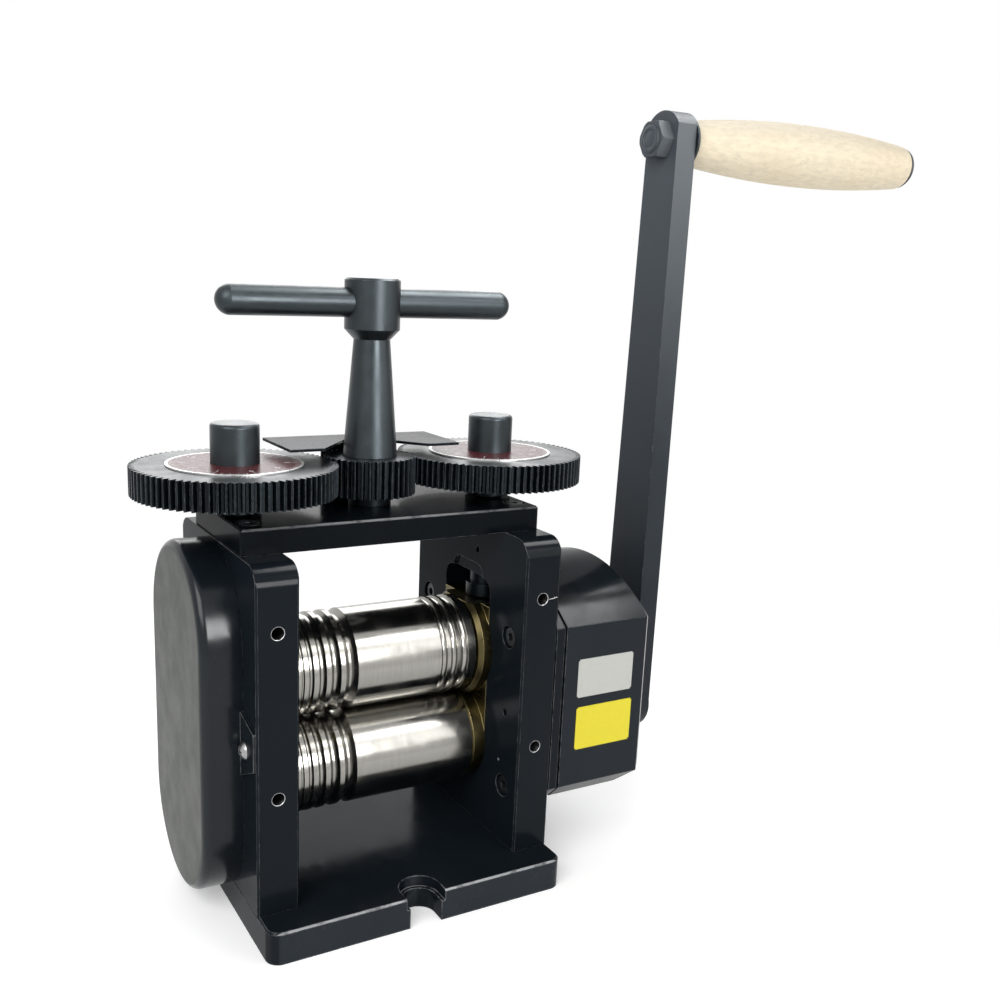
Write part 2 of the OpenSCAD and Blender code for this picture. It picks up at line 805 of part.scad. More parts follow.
module circlip_groove() {
    difference() {
        cylinder(h = circlip_t + 2 * side_gap, r = circlip_r);
        translate([0, 0, -overrun])
            cylinder(h = circlip_t + 2 * side_gap + 2 * overrun, r = circlip_groove_r);
    }
}

// Split ring that holds a gear on its seat
module circlip() {
    mouth = circlip_groove_r * circlip_mouth_share;
    linear_extrude(circlip_t) difference() {
        circle(circlip_r);
        circle(circlip_groove_r + seat_fit);
        translate([-mouth / 2, 0]) square([mouth, circlip_r + overrun]);
    }
}

module lower_roll() {
    shoulder = second_pair_x - side_gap;
    tail = second_pair_end_x + circlip_t + 2 * side_gap + seat_tail;
    color(polished) translate([0, 0, lower_axis_h]) along_x() {
        roll_solid(shoulder);
        difference() {
            translate([0, 0, shoulder - seat_fit])
                linear_extrude(tail - shoulder + seat_fit) flatted_circle(seat_r, seat_flat);
            translate([0, 0, second_pair_end_x]) circlip_groove();
        }
    }
}

// The upper roll also has half-round grooves for wire
module upper_roll() {
    color(polished) translate([0, 0, upper_axis_h]) along_x() difference() {
        roll_solid(outer_half - 2 * side_gap);
        for (share = wire_groove_shares) translate([0, 0, (share[0] - 0.5) * roll_len])
            rotate_extrude() translate([roll_r, 0]) circle(share[1] * roll_len / 2);
    }
}

// Long-toothed gear that couples the rolls
module coupling_gear(tooth_angle) {
    translate([-coupling_end_x + side_gap, 0, 0]) along_x() difference() {
        rotate(tooth_angle) spur_gear(coupling_teeth, coupling_module, coupling_w,
            coupling_backlash, coupling_flank_shares);
        translate([0, 0, -overrun]) linear_extrude(coupling_w + 2 * overrun)
            flatted_circle(seat_r, seat_flat, seat_fit);
    }
}

module lower_coupling_gear() {
    color(black_oxide) translate([0, 0, lower_axis_h]) coupling_gear(90);
}

module upper_coupling_gear() {
    color(black_oxide) translate([0, 0, upper_axis_h]) coupling_gear(-90 + 180 / coupling_teeth);
}

module lower_gear_circlip() {
    color(bare_steel) translate([-coupling_end_x - circlip_t, 0, lower_axis_h]) along_x() circlip();
}

module upper_gear_circlip() {
    color(bare_steel) translate([-coupling_end_x - circlip_t, 0, upper_axis_h]) along_x() circlip();
}

// Rounded can between two round ends, open at its foot
module stadium_can(r, depth, edge) {
    for (z = [cover_low, cover_high]) translate([0, z, 0])
        rotate_extrude() intersection() {
            can_section(r, depth, edge);
            square([r, depth]);
        }
    translate([0, cover_low, 0]) rotate([-90, 0, 0]) mirror([0, 1, 0])
        linear_extrude(cover_high - cover_low) can_section(r, depth, edge);
}

module can_section(r, depth, edge) {
    translate([-r, 0]) square([2 * r, depth - edge]);
    translate([edge - r, 0]) square([2 * (r - edge), depth]);
    for (x = [-1, 1]) translate([x * (r - edge), depth - edge]) circle(edge);
}

// Pressed cover over the coupling gears, with an ear at the front and one at the back
module gear_cover() {
    color(enamel) translate([-outer_half, cover_shift, 0]) mirror([1, 0, 0]) along_x()
        difference() {
            union() {
                stadium_can(cover_r, cover_depth, cover_edge_r);
                ear(-cover_r, -ear_tip_y - cover_shift);
                ear(cover_r, ear_tip_y - cover_shift);
            }
            translate([0, 0, -overrun])
                stadium_can(cover_r - sheet_t, cover_depth - sheet_t + overrun,
                    cover_edge_r - sheet_t);
            for (place = [-ear_front_screw_y, ear_back_screw_y])
                translate([place - cover_shift, ear_screw_h, -overrun])
                    cylinder(h = sheet_t + 2 * overrun, r = ear_screw_r + 2 * seat_fit);
        }
}

module ear(root, tip) {
    overlap = root > 0 ? -sheet_t : sheet_t;
    linear_extrude(sheet_t) polygon([[root + overlap, ear_root_low], [tip, ear_tip_low],
        [tip, ear_tip_high], [root + overlap, ear_root_high]]);
}

module gear_cover_screws() {
    color(polished) for (place = [-ear_front_screw_y, ear_back_screw_y])
        translate([-outer_half - sheet_t, place, ear_screw_h]) mirror([1, 0, 0]) along_x()
            pan_screw(ear_head_r, ear_head_h, ear_screw_r, sheet_t + ear_screw_bite);
}

// Upright outline of the gearbox: flat sides, chamfered foot and arched top
module gearbox_outline(inset) {
    half = cheek_d / 2 - inset;
    low = housing_low + inset;
    cut = housing_low_chamfer;
    intersection() {
        polygon([[-half, low + cut], [cut - half, low], [half - cut, low], [half, low + cut],
            [half, housing_crest], [-half, housing_crest]]);
        translate([0, arch_z]) circle(housing_arch_r - inset, $fn = 180);
    }
}

module gearbox_flange_plate() {
    color(enamel) difference() {
        translate([outer_half, 0, 0]) along_x() {
            linear_extrude(plate_t) gearbox_outline(0);
            linear_extrude(plate_t + groove) gearbox_outline(groove);
        }
        translate([outer_half - overrun, 0, lower_axis_h]) along_x()
            cylinder(h = plate_t + groove + 2 * overrun, r = journal_r + journal_hole_gap);
        translate([outer_half - overrun, 0, counter_h]) along_x()
            cylinder(h = plate_t + groove + 2 * overrun, r = counter_r + bush_wall + seat_fit);
        flange_screw_places() translate([0, 0, cheek_t - overrun])
            cylinder(h = plate_t + overrun, r = plate_screw_r + seat_fit);
        pillar_places() translate([0, 0, outer_half - overrun])
            cylinder(h = plate_t + groove + 2 * overrun, r = plate_screw_r + seat_fit);
    }
}

module gearbox_flange_screws() {
    color(black_oxide) flange_screw_places() translate([0, 0, flange_head_sink])
        rotate([180, 0, 0])
        socket_screw(plate_screw_head_r, flange_seat_depth - flange_head_sink, plate_screw_r,
            cheek_t - flange_seat_depth + plate_t - 2 * side_gap);
}

// The housing's four screw pillars, seen along X
module pillar_places() {
    for (y = [-1, 1], z = [pillar_low, pillar_high])
        translate([0, y * pillar_y, z]) along_x() children();
}

// Gearbox housing with its outer edges chamfered
module housing_block() {
    half = cheek_d / 2;
    cut = housing_end_chamfer;
    intersection() {
        translate([housing_x, 0, 0]) along_x() linear_extrude(housing_len) gearbox_outline(0);
        translate([0, 0, housing_low]) linear_extrude(housing_crest) polygon([
            [housing_x, -half], [housing_end_x - cut, -half], [housing_end_x, cut - half],
            [housing_end_x, half - cut], [housing_end_x - cut, half], [housing_x, half]]);
        translate([0, half, 0]) rotate([90, 0, 0]) linear_extrude(cheek_d) polygon([
            [housing_x, housing_low], [housing_end_x - housing_corner_cut, housing_low],
            [housing_end_x, housing_low + housing_corner_cut],
            [housing_end_x, housing_crest], [housing_x, housing_crest]]);
        translate([housing_x, 0, arch_z]) along_x() rotate_extrude($fn = 180) polygon([[0, 0],
            [housing_arch_r, 0], [housing_arch_r, housing_len - cut],
            [housing_arch_r - cut, housing_len], [0, housing_len]]);
    }
}

module gearbox_housing() {
    inside = housing_len - housing_wall;
    inner_cut_x = housing_end_x - housing_corner_cut - sqrt(2) * housing_wall;
    inner_cut_z = housing_low + housing_corner_cut + sqrt(2) * housing_wall;
    color(enamel) difference() {
        union() {
            difference() {
                housing_block();
                intersection() {
                    translate([housing_x - overrun, 0, 0]) along_x()
                        linear_extrude(inside + overrun) gearbox_outline(housing_wall);
                    translate([0, cheek_d / 2, 0]) rotate([90, 0, 0])
                        linear_extrude(cheek_d) polygon([
                            [housing_x - overrun, housing_low], [inner_cut_x, housing_low],
                            [housing_end_x, inner_cut_z], [housing_end_x, housing_crest],
                            [housing_x - overrun, housing_crest]]);
                }
            }
            translate([boss_x, 0, lower_axis_h]) along_x()
                cylinder(h = housing_x + inside - boss_x + seat_fit, r = crank_boss_r);
            translate([boss_x, 0, counter_h]) along_x()
                cylinder(h = housing_x + inside - boss_x + seat_fit, r = counter_boss_r);
            pillar_places() translate([0, 0, housing_x])
                cylinder(h = inside + seat_fit, r = pillar_r);
        }
        translate([boss_x - overrun, 0, lower_axis_h]) along_x()
            cylinder(h = housing_end_x, r = crank_shaft_r + bush_wall + seat_fit);
        translate([boss_x - overrun, 0, counter_h]) along_x()
            cylinder(h = housing_x + inside - boss_x + overrun,
                r = counter_r + bush_wall + seat_fit);
        pillar_places() {
            translate([0, 0, housing_x - overrun])
                cylinder(h = housing_len + 2 * overrun, r = plate_screw_r + seat_fit);
            translate([0, 0, housing_end_x - plate_screw_head_h])
                cylinder(h = plate_screw_head_h + overrun, r = flange_seat_r);
        }
    }
}

module gearbox_housing_screws() {
    color(black_oxide) pillar_places() translate([0, 0, housing_end_x])
        socket_screw(plate_screw_head_r, plate_screw_head_h, plate_screw_r,
            housing_len - plate_screw_head_h + groove + plate_t - side_gap);
}

module roll_drive_gear() {
    color(black_oxide) translate([second_pair_x, 0, lower_axis_h]) along_x() difference() {
        rotate(90) spur_gear(transfer_teeth, second_module, second_pair_w, train_backlash);
        translate([0, 0, -overrun]) linear_extrude(second_pair_w + 2 * overrun)
            flatted_circle(seat_r, seat_flat, seat_fit);
    }
}

module drive_gear_circlip() {
    color(bare_steel) translate([second_pair_end_x + side_gap, 0, lower_axis_h]) along_x()
        circlip();
}

// Countershaft: flatted for its gears, with a collar between them
module countershaft() {
    head = outer_half + side_gap;
    tail = housing_end_x - housing_wall - 3 * side_gap;
    collar_r = counter_r + bush_wall;
    collar_x = second_pair_end_x + side_gap;
    collar_end_x = first_pair_x - side_gap;
    color(bare_steel) translate([0, 0, counter_h]) along_x() difference() {
        rotate_extrude() polygon([[0, head], [counter_r, head], [counter_r, collar_x],
            [collar_r, collar_x], [collar_r, collar_end_x], [counter_r, collar_end_x],
            [counter_r, tail], [0, tail]]);
        for (y = [-1, 1]) {
            shaft_flat(y, second_pair_x - side_gap, collar_x);
            shaft_flat(y, collar_end_x, first_pair_end_x + side_gap);
        }
    }
}

// One flat along a stretch of the countershaft
module shaft_flat(side, from, to) {
    mirror([0, side > 0 ? 0 : 1, 0])
        translate([-counter_r, counter_flat, from]) cube([2 * counter_r, counter_r, to - from]);
}

module countershaft_pinion() {
    color(black_oxide) translate([second_pair_x, 0, counter_h]) along_x() difference() {
        rotate(-90 + 180 / transfer_teeth)
            spur_gear(transfer_teeth, second_module, second_pair_w, train_backlash);
        translate([0, 0, -overrun]) linear_extrude(second_pair_w + 2 * overrun)
            flatted_circle(counter_r, counter_flat, seat_fit);
    }
}

module countershaft_wheel() {
    color(black_oxide) translate([first_pair_x, 0, counter_h]) along_x() difference() {
        rotate(-90 + 180 / wheel_teeth)
            spur_gear(wheel_teeth, first_module, first_pair_w, train_backlash);
        translate([0, 0, -overrun]) linear_extrude(first_pair_w + 2 * overrun)
            flatted_circle(counter_r, counter_flat, seat_fit);
    }
}

module bush(r, len) {
    difference() {
        cylinder(h = len, r = r + bush_wall);
        translate([0, 0, -overrun]) cylinder(h = len + 2 * overrun, r = r + running_fit);
    }
}

module countershaft_bushes() {
    color(bronze) translate([0, 0, counter_h]) along_x() {
        translate([0, 0, outer_half]) bush(counter_r, plate_t + groove);
        translate([0, 0, boss_x]) bush(counter_r, housing_end_x - housing_wall - overrun - boss_x);
    }
}

// Bush with a rim that seats on the housing's outer face
module crank_bush() {
    color(bronze) translate([boss_x, 0, lower_axis_h]) along_x() difference() {
        union() {
            cylinder(h = housing_end_x - boss_x + seat_fit, r = crank_shaft_r + bush_wall);
            translate([0, 0, housing_end_x - boss_x + seat_fit])
                cylinder(h = bush_rim, r = crank_boss_r);
        }
        translate([0, 0, -overrun])
            cylinder(h = housing_end_x - boss_x + bush_rim + 2 * overrun,
                r = crank_shaft_r + running_fit);
    }
}

// Crank shaft with its pinion cut from the solid and a square end for the arm
module crank_shaft() {
    color(bare_steel) translate([0, 0, lower_axis_h]) along_x() {
        translate([0, 0, first_pair_x]) rotate(90)
            spur_gear(crank_teeth, first_module, first_pair_w + side_gap + seat_fit,
                train_backlash);
        translate([0, 0, first_pair_end_x + side_gap])
            cylinder(h = arm_x - first_pair_end_x - side_gap - seat_fit, r = crank_shaft_r);
        translate([0, 0, arm_x - overrun]) intersection() {
            cylinder(h = arm_t + overrun - seat_fit, r = crank_shaft_r);
            translate([-arm_square / 2, -arm_square / 2, 0])
                cube([arm_square, arm_square, arm_t + overrun]);
        }
        translate([0, 0, arm_end_x - overrun])
            cylinder(h = crank_washer_t + crank_nut_h + 2 * overrun, r = crank_stud_r);
    }
}

// Outline of the arm, seen along X with the crank shaft at the middle
module arm_outline() {
    root_half = arm_root_r * arm_neck_share;
    circle(arm_root_r);
    rotate(arm_turn) intersection() {
        polygon([[-root_half, 0], [root_half, 0], [arm_w / 2, arm_reach],
            [arm_w / 2, arm_reach + arm_tip_r], [-arm_w / 2, arm_reach + arm_tip_r],
            [-arm_w / 2, arm_reach]]);
        union() {
            translate([0, arm_reach]) circle(arm_tip_r);
            translate([-arm_root_r, -overrun]) square([2 * arm_root_r, arm_reach + overrun]);
        }
    }
}

// Flat tapered arm with round ends and a boss on the gearbox side
module crank_arm() {
    boss_len = arm_gap - bush_rim - 2 * side_gap;
    color("#3f474f") translate([0, 0, lower_axis_h]) along_x() difference() {
        union() {
            translate([0, 0, arm_x]) linear_extrude(arm_t) arm_outline();
            translate([0, 0, arm_x - boss_len]) cylinder(h = boss_len + seat_fit, r = arm_boss_r);
        }
        translate([0, 0, arm_x - boss_len - overrun])
            cylinder(h = boss_len + overrun, r = crank_shaft_r + seat_fit);
        translate([0, 0, arm_x - overrun]) linear_extrude(arm_t + 2 * overrun) intersection() {
            circle(crank_shaft_r + seat_fit);
            square(arm_square + 2 * seat_fit, center = true);
        }
        rotate(arm_turn) translate([0, arm_reach, arm_x - overrun])
            cylinder(h = arm_t + 2 * overrun, r = handle_bolt_r + seat_fit);
    }
}

module crank_washer() {
    color(black_oxide) translate([arm_end_x, 0, lower_axis_h]) along_x() difference() {
        cylinder(h = crank_washer_t, r = crank_washer_r);
        translate([0, 0, -overrun])
            cylinder(h = crank_washer_t + 2 * overrun, r = crank_stud_r + seat_fit);
    }
}

module crank_nut() {
    color(black_oxide) translate([arm_end_x + crank_washer_t, 0, lower_axis_h]) along_x()
        difference() {
            cylinder(h = crank_nut_h, r = crank_nut_r, $fn = 6);
            translate([0, 0, -overrun])
                cylinder(h = crank_nut_h + 2 * overrun, r = crank_stud_r + seat_fit);
        }
}

// Bolt on which the wooden handle turns, headed on the gearbox side of the arm
module handle_bolt() {
    reach = handle_x + handle_len + side_gap + end_nut_t - arm_x;
    color(black_oxide) translate([arm_x, handle_y, handle_z]) along_x() {
        translate([0, 0, -bolt_head_h]) intersection() {
            cylinder(h = bolt_head_h, r = bolt_head_r, $fn = 6);
            cylinder(h = bolt_head_h, r1 = bolt_head_r - edge_chamfer,
                r2 = bolt_head_r - edge_chamfer + bolt_head_h);
        }
        translate([0, 0, -seat_fit]) cylinder(h = reach, r = handle_bolt_r);
    }
}

module handle_collar() {
    color(black_oxide) translate([arm_end_x, handle_y, handle_z]) along_x() difference() {
        union() {
            cylinder(h = handle_collar_t - edge_chamfer, r = handle_collar_r);
            translate([0, 0, handle_collar_t - edge_chamfer])
                cylinder(h = edge_chamfer, r1 = handle_collar_r, r2 = handle_collar_r - edge_chamfer);
        }
        translate([0, 0, -overrun])
            cylinder(h = handle_collar_t + 2 * overrun, r = handle_bolt_r + seat_fit);
    }
}

// Turned handle: one long arc from end to end, with broken edges
module wooden_handle() {
    peak = handle_len * handle_peak_share;
    color("#cfa676") translate([handle_x, handle_y, handle_z]) along_x() rotate_extrude()
        intersection() {
            translate([handle_r - handle_curve_r, peak]) circle(handle_curve_r, $fn = 720);
            polygon([[handle_bolt_r + running_fit, 0], [handle_end_r(peak) - handle_edge, 0],
                [handle_r, handle_r - handle_end_r(peak) + handle_edge],
                [handle_r, handle_len - handle_r + handle_end_r(handle_len - peak) - handle_edge],
                [handle_end_r(handle_len - peak) - handle_edge, handle_len],
                [handle_bolt_r + running_fit, handle_len]]);
        }
}

// Radius of the handle's arc at a distance from its thickest part
function handle_end_r(distance) =
    handle_r - handle_curve_r + sqrt(pow(handle_curve_r, 2) - pow(distance, 2));

module handle_end_nut() {
    color(black_oxide) translate([handle_x + handle_len + side_gap, handle_y, handle_z]) along_x()
        difference() {
            cylinder(h = end_nut_t - seat_fit, r1 = end_nut_r, r2 = end_nut_r - edge_chamfer);
            translate([0, 0, -overrun])
                cylinder(h = end_nut_t + 2 * overrun, r = handle_bolt_r + seat_fit);
        }
}

// Adjusting screw: its foot presses on the bearing, its shoulder carries the gear
module screw_spindle() {
    foot = upper_axis_h + bearing_top + seat_fit;
    neck_r = screw_r - edge_chamfer / 2;
    shoulder = plate_top + collar_gap;
    tip = screw_gear_top + hub_h / 2;
    translate([cheek_mid, 0, 0]) rotate_extrude() polygon([[0, foot],
        [screw_foot_r - edge_chamfer, foot], [screw_foot_r, foot + edge_chamfer],
        [screw_foot_r, foot + screw_foot_h], [screw_r, foot + screw_foot_h],
        [screw_r, shoulder], [neck_r, shoulder], [neck_r, tip], [0, tip]]);
}

module left_screw_spindle() {
    color(black_oxide) left_side() screw_spindle();
}

module right_screw_spindle() {
    color(black_oxide) screw_spindle();
}

// Gear on a screw, with a collar under it and a tooth gap turned to the pinion
module screw_gear(side) {
    collar_h = screw_gear_lift - collar_gap - seat_fit;
    translate([side * cheek_mid, 0, screw_gear_z]) difference() {
        union() {
            rotate(180 / screw_teeth)
                spur_gear(screw_teeth, screw_module, screw_gear_h, screw_backlash);
            translate([0, 0, -collar_h]) cylinder(h = collar_h + seat_fit, r = screw_collar_r);
        }
        translate([0, 0, -collar_h - overrun])
            cylinder(h = collar_h + screw_gear_h + 2 * overrun,
                r = screw_r - edge_chamfer / 2 + seat_fit);
    }
}

module left_screw_gear() {
    color(black_oxide) screw_gear(-1);
}

module right_screw_gear() {
    color(black_oxide) screw_gear(1);
}

module dial(side) {
    translate([side * cheek_mid, 0, screw_gear_top]) difference() {
        cylinder(h = dial_t, r = dial_r);
        translate([0, 0, -overrun]) cylinder(h = dial_t + 2 * overrun, r = hub_r + seat_fit);
    }
}

module left_dial() {
    color("#5a2325") dial(-1);
}

module right_dial() {
    color("#5a2325") dial(1);
}

// Cap nut with a rounded upper edge
module cap_nut(side) {
    translate([side * cheek_mid, 0, screw_gear_top]) difference() {
        rotate_extrude() {
            square([hub_r, hub_h - hub_round_r]);
            square([hub_r - hub_round_r, hub_h]);
            translate([hub_r - hub_round_r, hub_h - hub_round_r]) circle(hub_round_r);
        }
        translate([0, 0, -overrun])
            cylinder(h = hub_h / 2 + 2 * overrun, r = screw_r - edge_chamfer / 2 + seat_fit);
    }
}

module left_cap_nut() {
    color(black_oxide) cap_nut(-1);
}

module right_cap_nut() {
    color(black_oxide) cap_nut(1);
}

module pinion_gear() {
    color(black_oxide) difference() {
        union() {
            translate([0, 0, pinion_z])
                spur_gear(pinion_teeth, screw_module, pinion_h, screw_backlash);
            translate([0, 0, plate_top + running_fit])
                cylinder(h = pinion_lift, r = pinion_neck_r);
        }
        translate([0, 0, plate_top])
            cylinder(h = pinion_top, r = adjuster_journal_r + seat_fit);
    }
}

// Tapered column with a cross-drilled head and a journal through the top plate
module adjuster_column() {
    waist_z = pinion_top + column_taper_h;
    head_z = waist_z + column_flare_h;
    top = head_z + head_h;
    low = cheek_top - running_fit;
    color(black_oxide) difference() {
        rotate_extrude() polygon([[0, low], [adjuster_journal_r, low],
            [adjuster_journal_r, pinion_top + seat_fit], [column_foot_r, pinion_top + seat_fit],
            [column_waist_r, waist_z], [head_r, head_z], [head_r, top - edge_chamfer],
            [head_r - edge_chamfer, top], [0, top]]);
        translate([0, 0, head_z + bar_rise]) rotate([0, 90, bar_turn])
            cylinder(h = 2 * head_r + 2 * overrun, r = bar_r + seat_fit, center = true);
        translate([0, 0, low - overrun])
            cylinder(h = pinion_lift + top_h, r = plate_screw_r + seat_fit);
    }
}

// Cross bar with domed ends
module cross_bar() {
    dome_h = bar_r * bar_dome_share;
    dome_r = (pow(bar_r, 2) + pow(dome_h, 2)) / (2 * dome_h);
    bar_z = pinion_top + column_taper_h + column_flare_h + bar_rise;
    color(black_oxide) translate([0, 0, bar_z]) rotate([0, 90, bar_turn])
        translate([0, 0, bar_shift]) rotate_extrude() for (end = [0, 1]) mirror([0, end]) {
            square([bar_r, bar_len / 2 - dome_h]);
            intersection() {
                translate([0, bar_len / 2 - dome_r]) circle(dome_r);
                square([bar_r, bar_len / 2]);
            }
        }
}

module adjuster_washer() {
    color(bare_steel) translate([0, 0, cheek_top - lower_washer_t - running_fit]) difference() {
        cylinder(h = lower_washer_t - running_fit, r = lower_washer_r);
        translate([0, 0, -overrun])
            cylinder(h = lower_washer_t + 2 * overrun, r = plate_screw_r + seat_fit);
    }
}

module adjuster_screw() {
    color(black_oxide) translate([0, 0, cheek_top - lower_washer_t - running_fit - lower_head_h])
        rotate([180, 0, 0]) socket_screw(lower_head_r, lower_head_h, plate_screw_r,
            lower_washer_t + top_h);
}

// Sheet with a notch round the column, bent down behind the pinion to a foot
module pointer_plate() {
    drop = pointer_z - plate_top;
    color("#26282c") difference() {
        union() {
            translate([0, 0, pointer_z]) linear_extrude(sheet_t) polygon([
                [-pointer_half, -pointer_front], [-notch_front_half, -pointer_front],
                [-notch_end_half, notch_end], [notch_end_half, notch_end],
                [notch_front_half, -pointer_front], [pointer_half, -pointer_front],
                [pointer_half, pointer_back], [-pointer_half, pointer_back]]);
            translate([-web_half, pointer_back - sheet_t, plate_top])
                cube([2 * web_half, sheet_t, drop + seat_fit]);
            translate([-web_half, pointer_back - foot_d, plate_top])
                cube([2 * web_half, foot_d, sheet_t]);
        }
        pointer_screw_places() translate([0, 0, -overrun])
            cylinder(h = sheet_t + 2 * overrun, r = pointer_screw_r + 2 * seat_fit);
    }
}

module pointer_screw_places() {
    for (x = [-1, 1])
        translate([x * pointer_screw_x, pointer_back - sheet_t - pointer_screw_inset, plate_top])
            children();
}

module pointer_plate_screws() {
    color(polished) pointer_screw_places() translate([0, 0, sheet_t])
        pan_screw(pointer_head_r, pointer_head_h, pointer_screw_r, sheet_t + pointer_screw_bite);
}

base_plate();
base_screws();
left_cheek();
right_cheek();
top_plate();
top_plate_screws();
lower_left_bearing();
lower_right_bearing();
upper_left_bearing();
upper_right_bearing();
lift_springs();
lower_roll();
upper_roll();
lower_coupling_gear();
upper_coupling_gear();
lower_gear_circlip();
upper_gear_circlip();
gear_cover();
gear_cover_screws();
gearbox_flange_plate();
gearbox_flange_screws();
gearbox_housing();
gearbox_housing_screws();
roll_drive_gear();
drive_gear_circlip();
countershaft();
countershaft_pinion();
countershaft_wheel();
countershaft_bushes();
crank_bush();
crank_shaft();
crank_arm();
crank_washer();
crank_nut();
handle_bolt();
handle_collar();
wooden_handle();
handle_end_nut();
left_screw_spindle();
right_screw_spindle();
left_screw_gear();
right_screw_gear();
left_dial();
right_dial();
left_cap_nut();
right_cap_nut();
pinion_gear();
adjuster_column();
cross_bar();
adjuster_washer();
adjuster_screw();
pointer_plate();
pointer_plate_screws();
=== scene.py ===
"""Finish, small trim, lights and camera of a jeweller's rolling mill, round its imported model.

Lengths are in metres, X runs along the rolls, Y to the back and Z up.
"""

import json
import math

import bmesh
import bpy
from bpy.props import FloatProperty, FloatVectorProperty, IntProperty, PointerProperty
from bpy.types import Operator, Panel, PropertyGroup
from mathutils import Matrix, Vector


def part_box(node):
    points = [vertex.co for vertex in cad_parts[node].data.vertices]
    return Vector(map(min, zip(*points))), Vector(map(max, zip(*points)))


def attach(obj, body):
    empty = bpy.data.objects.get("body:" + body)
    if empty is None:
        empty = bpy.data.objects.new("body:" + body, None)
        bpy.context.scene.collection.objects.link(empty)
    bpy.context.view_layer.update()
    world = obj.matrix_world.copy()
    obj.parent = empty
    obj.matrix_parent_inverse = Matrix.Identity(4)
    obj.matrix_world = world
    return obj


bl_info = {
    "name": "Rolling Mill Finish",
    "version": (1, 0, 0),
    "blender": (4, 5, 0),
    "location": "View3D > Sidebar > Rolling Mill",
    "description": "Gives the rolling mill its enamel, steel, dials, labels, stage and camera",
    "category": "Object",
}

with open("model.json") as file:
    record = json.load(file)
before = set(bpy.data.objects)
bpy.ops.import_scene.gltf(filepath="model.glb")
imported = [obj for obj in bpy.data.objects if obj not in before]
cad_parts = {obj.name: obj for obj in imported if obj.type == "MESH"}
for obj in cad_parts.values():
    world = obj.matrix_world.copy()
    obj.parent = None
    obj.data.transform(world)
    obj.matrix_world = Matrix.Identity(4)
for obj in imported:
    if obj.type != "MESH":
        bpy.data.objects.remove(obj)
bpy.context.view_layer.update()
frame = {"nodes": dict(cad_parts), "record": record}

MM = 0.001

# Each dial and the body that it rides on
DIAL_NODES = {"left_dial": "left_screw", "right_dial": "right_screw"}

# Left, right, foot and head of each label on the gearbox's front
LABEL_PLACES = {"white_label": (0.0993, 0.1365, 0.1020, 0.1243),
                "yellow_label": (0.0997, 0.1374, 0.0710, 0.0962)}
LABEL_CORNER = 0.0008

# Name, place, size in metres, power in watts, and whether it lights more than reflections
LAMPS = (("key_light", (-0.95, -0.75, 1.05), 1.0, 17, True),
         ("fill_light", (0.9, -0.9, 0.7), 0.9, 5, True),
         ("back_light", (0.3, 1.0, 0.9), 1.0, 9, True),
         ("overhead_light", (0.50, 0.0, 1.10), 0.55, 13, False),
         ("window_light", (0.18, -1.18, 0.48), 0.48, 13, False),
         ("edge_light", (0.54, -0.79, 1.0), 0.22, 2.0, False))
LAMP_AIM = (0, 0, 0.15)

# Radius beyond the end nut and distance past the wood, round the end washer's section
WASHER_SECTION = ((0.0, 0.0003), (0.0022, 0.0003), (0.0027, 0.0010), (0.0022, 0.0019),
                  (0.0010, 0.0024), (0.0, 0.0025))

# Radius and height above the bolt's head, from the crown's foot to its middle
CROWN_SECTION = ((0.0076, -0.0002), (0.0076, 0.0004), (0.0070, 0.0010), (0.0060, 0.0012),
                 (0.0052, 0.0010), (0.0048, 0.0005), (0.0040, 0.0007), (0.0020, 0.0011),
                 (0.0004, 0.0012))

# Scratch on the right cheek: gap to the hole's edge, length, and half its width
SCRATCH_GAP, SCRATCH_LENGTH, SCRATCH_HALF = 0.0004, 0.0054, 0.00016
SCRATCH_STEPS = 8
SCRATCH_DEPTH = 0.00003

# Floor: its radius, its own glow, and where it turns to pure white
FLOOR_RADIUS, FLOOR_GLOW = 4, 0.34
WHITE_NEAR, WHITE_FAR = 0.25, 0.8

# Strength of the white surroundings as a light; seen directly or in a mirror they are 1
WORLD_LIGHT = 0.45

# Width of the band of painted highlight on a plate's front and top, at its front top edge
HIGHLIGHT_BAND = 0.0009

# Metal that shows where paint or oxide has gone
# BARE_UNDER_PAINT also colours the painted highlight along the plates' front top edges
BARE_UNDER_PAINT = (0.34, 0.35, 0.36)
BARE_UNDER_CRANK_PAINT = (0.30, 0.31, 0.32)
BARE_UNDER_OXIDE = (0.33, 0.34, 0.35)
DUST = (0.05, 0.054, 0.058)


# Sizes and colours that a user would change


def length(label, default, hint):
    return FloatProperty(name=label, default=default, description=hint, unit="LENGTH", precision=5)


def colour(label, default, hint):
    return FloatVectorProperty(name=label, default=default, description=hint,
                               subtype="COLOR", size=3, min=0, max=1)


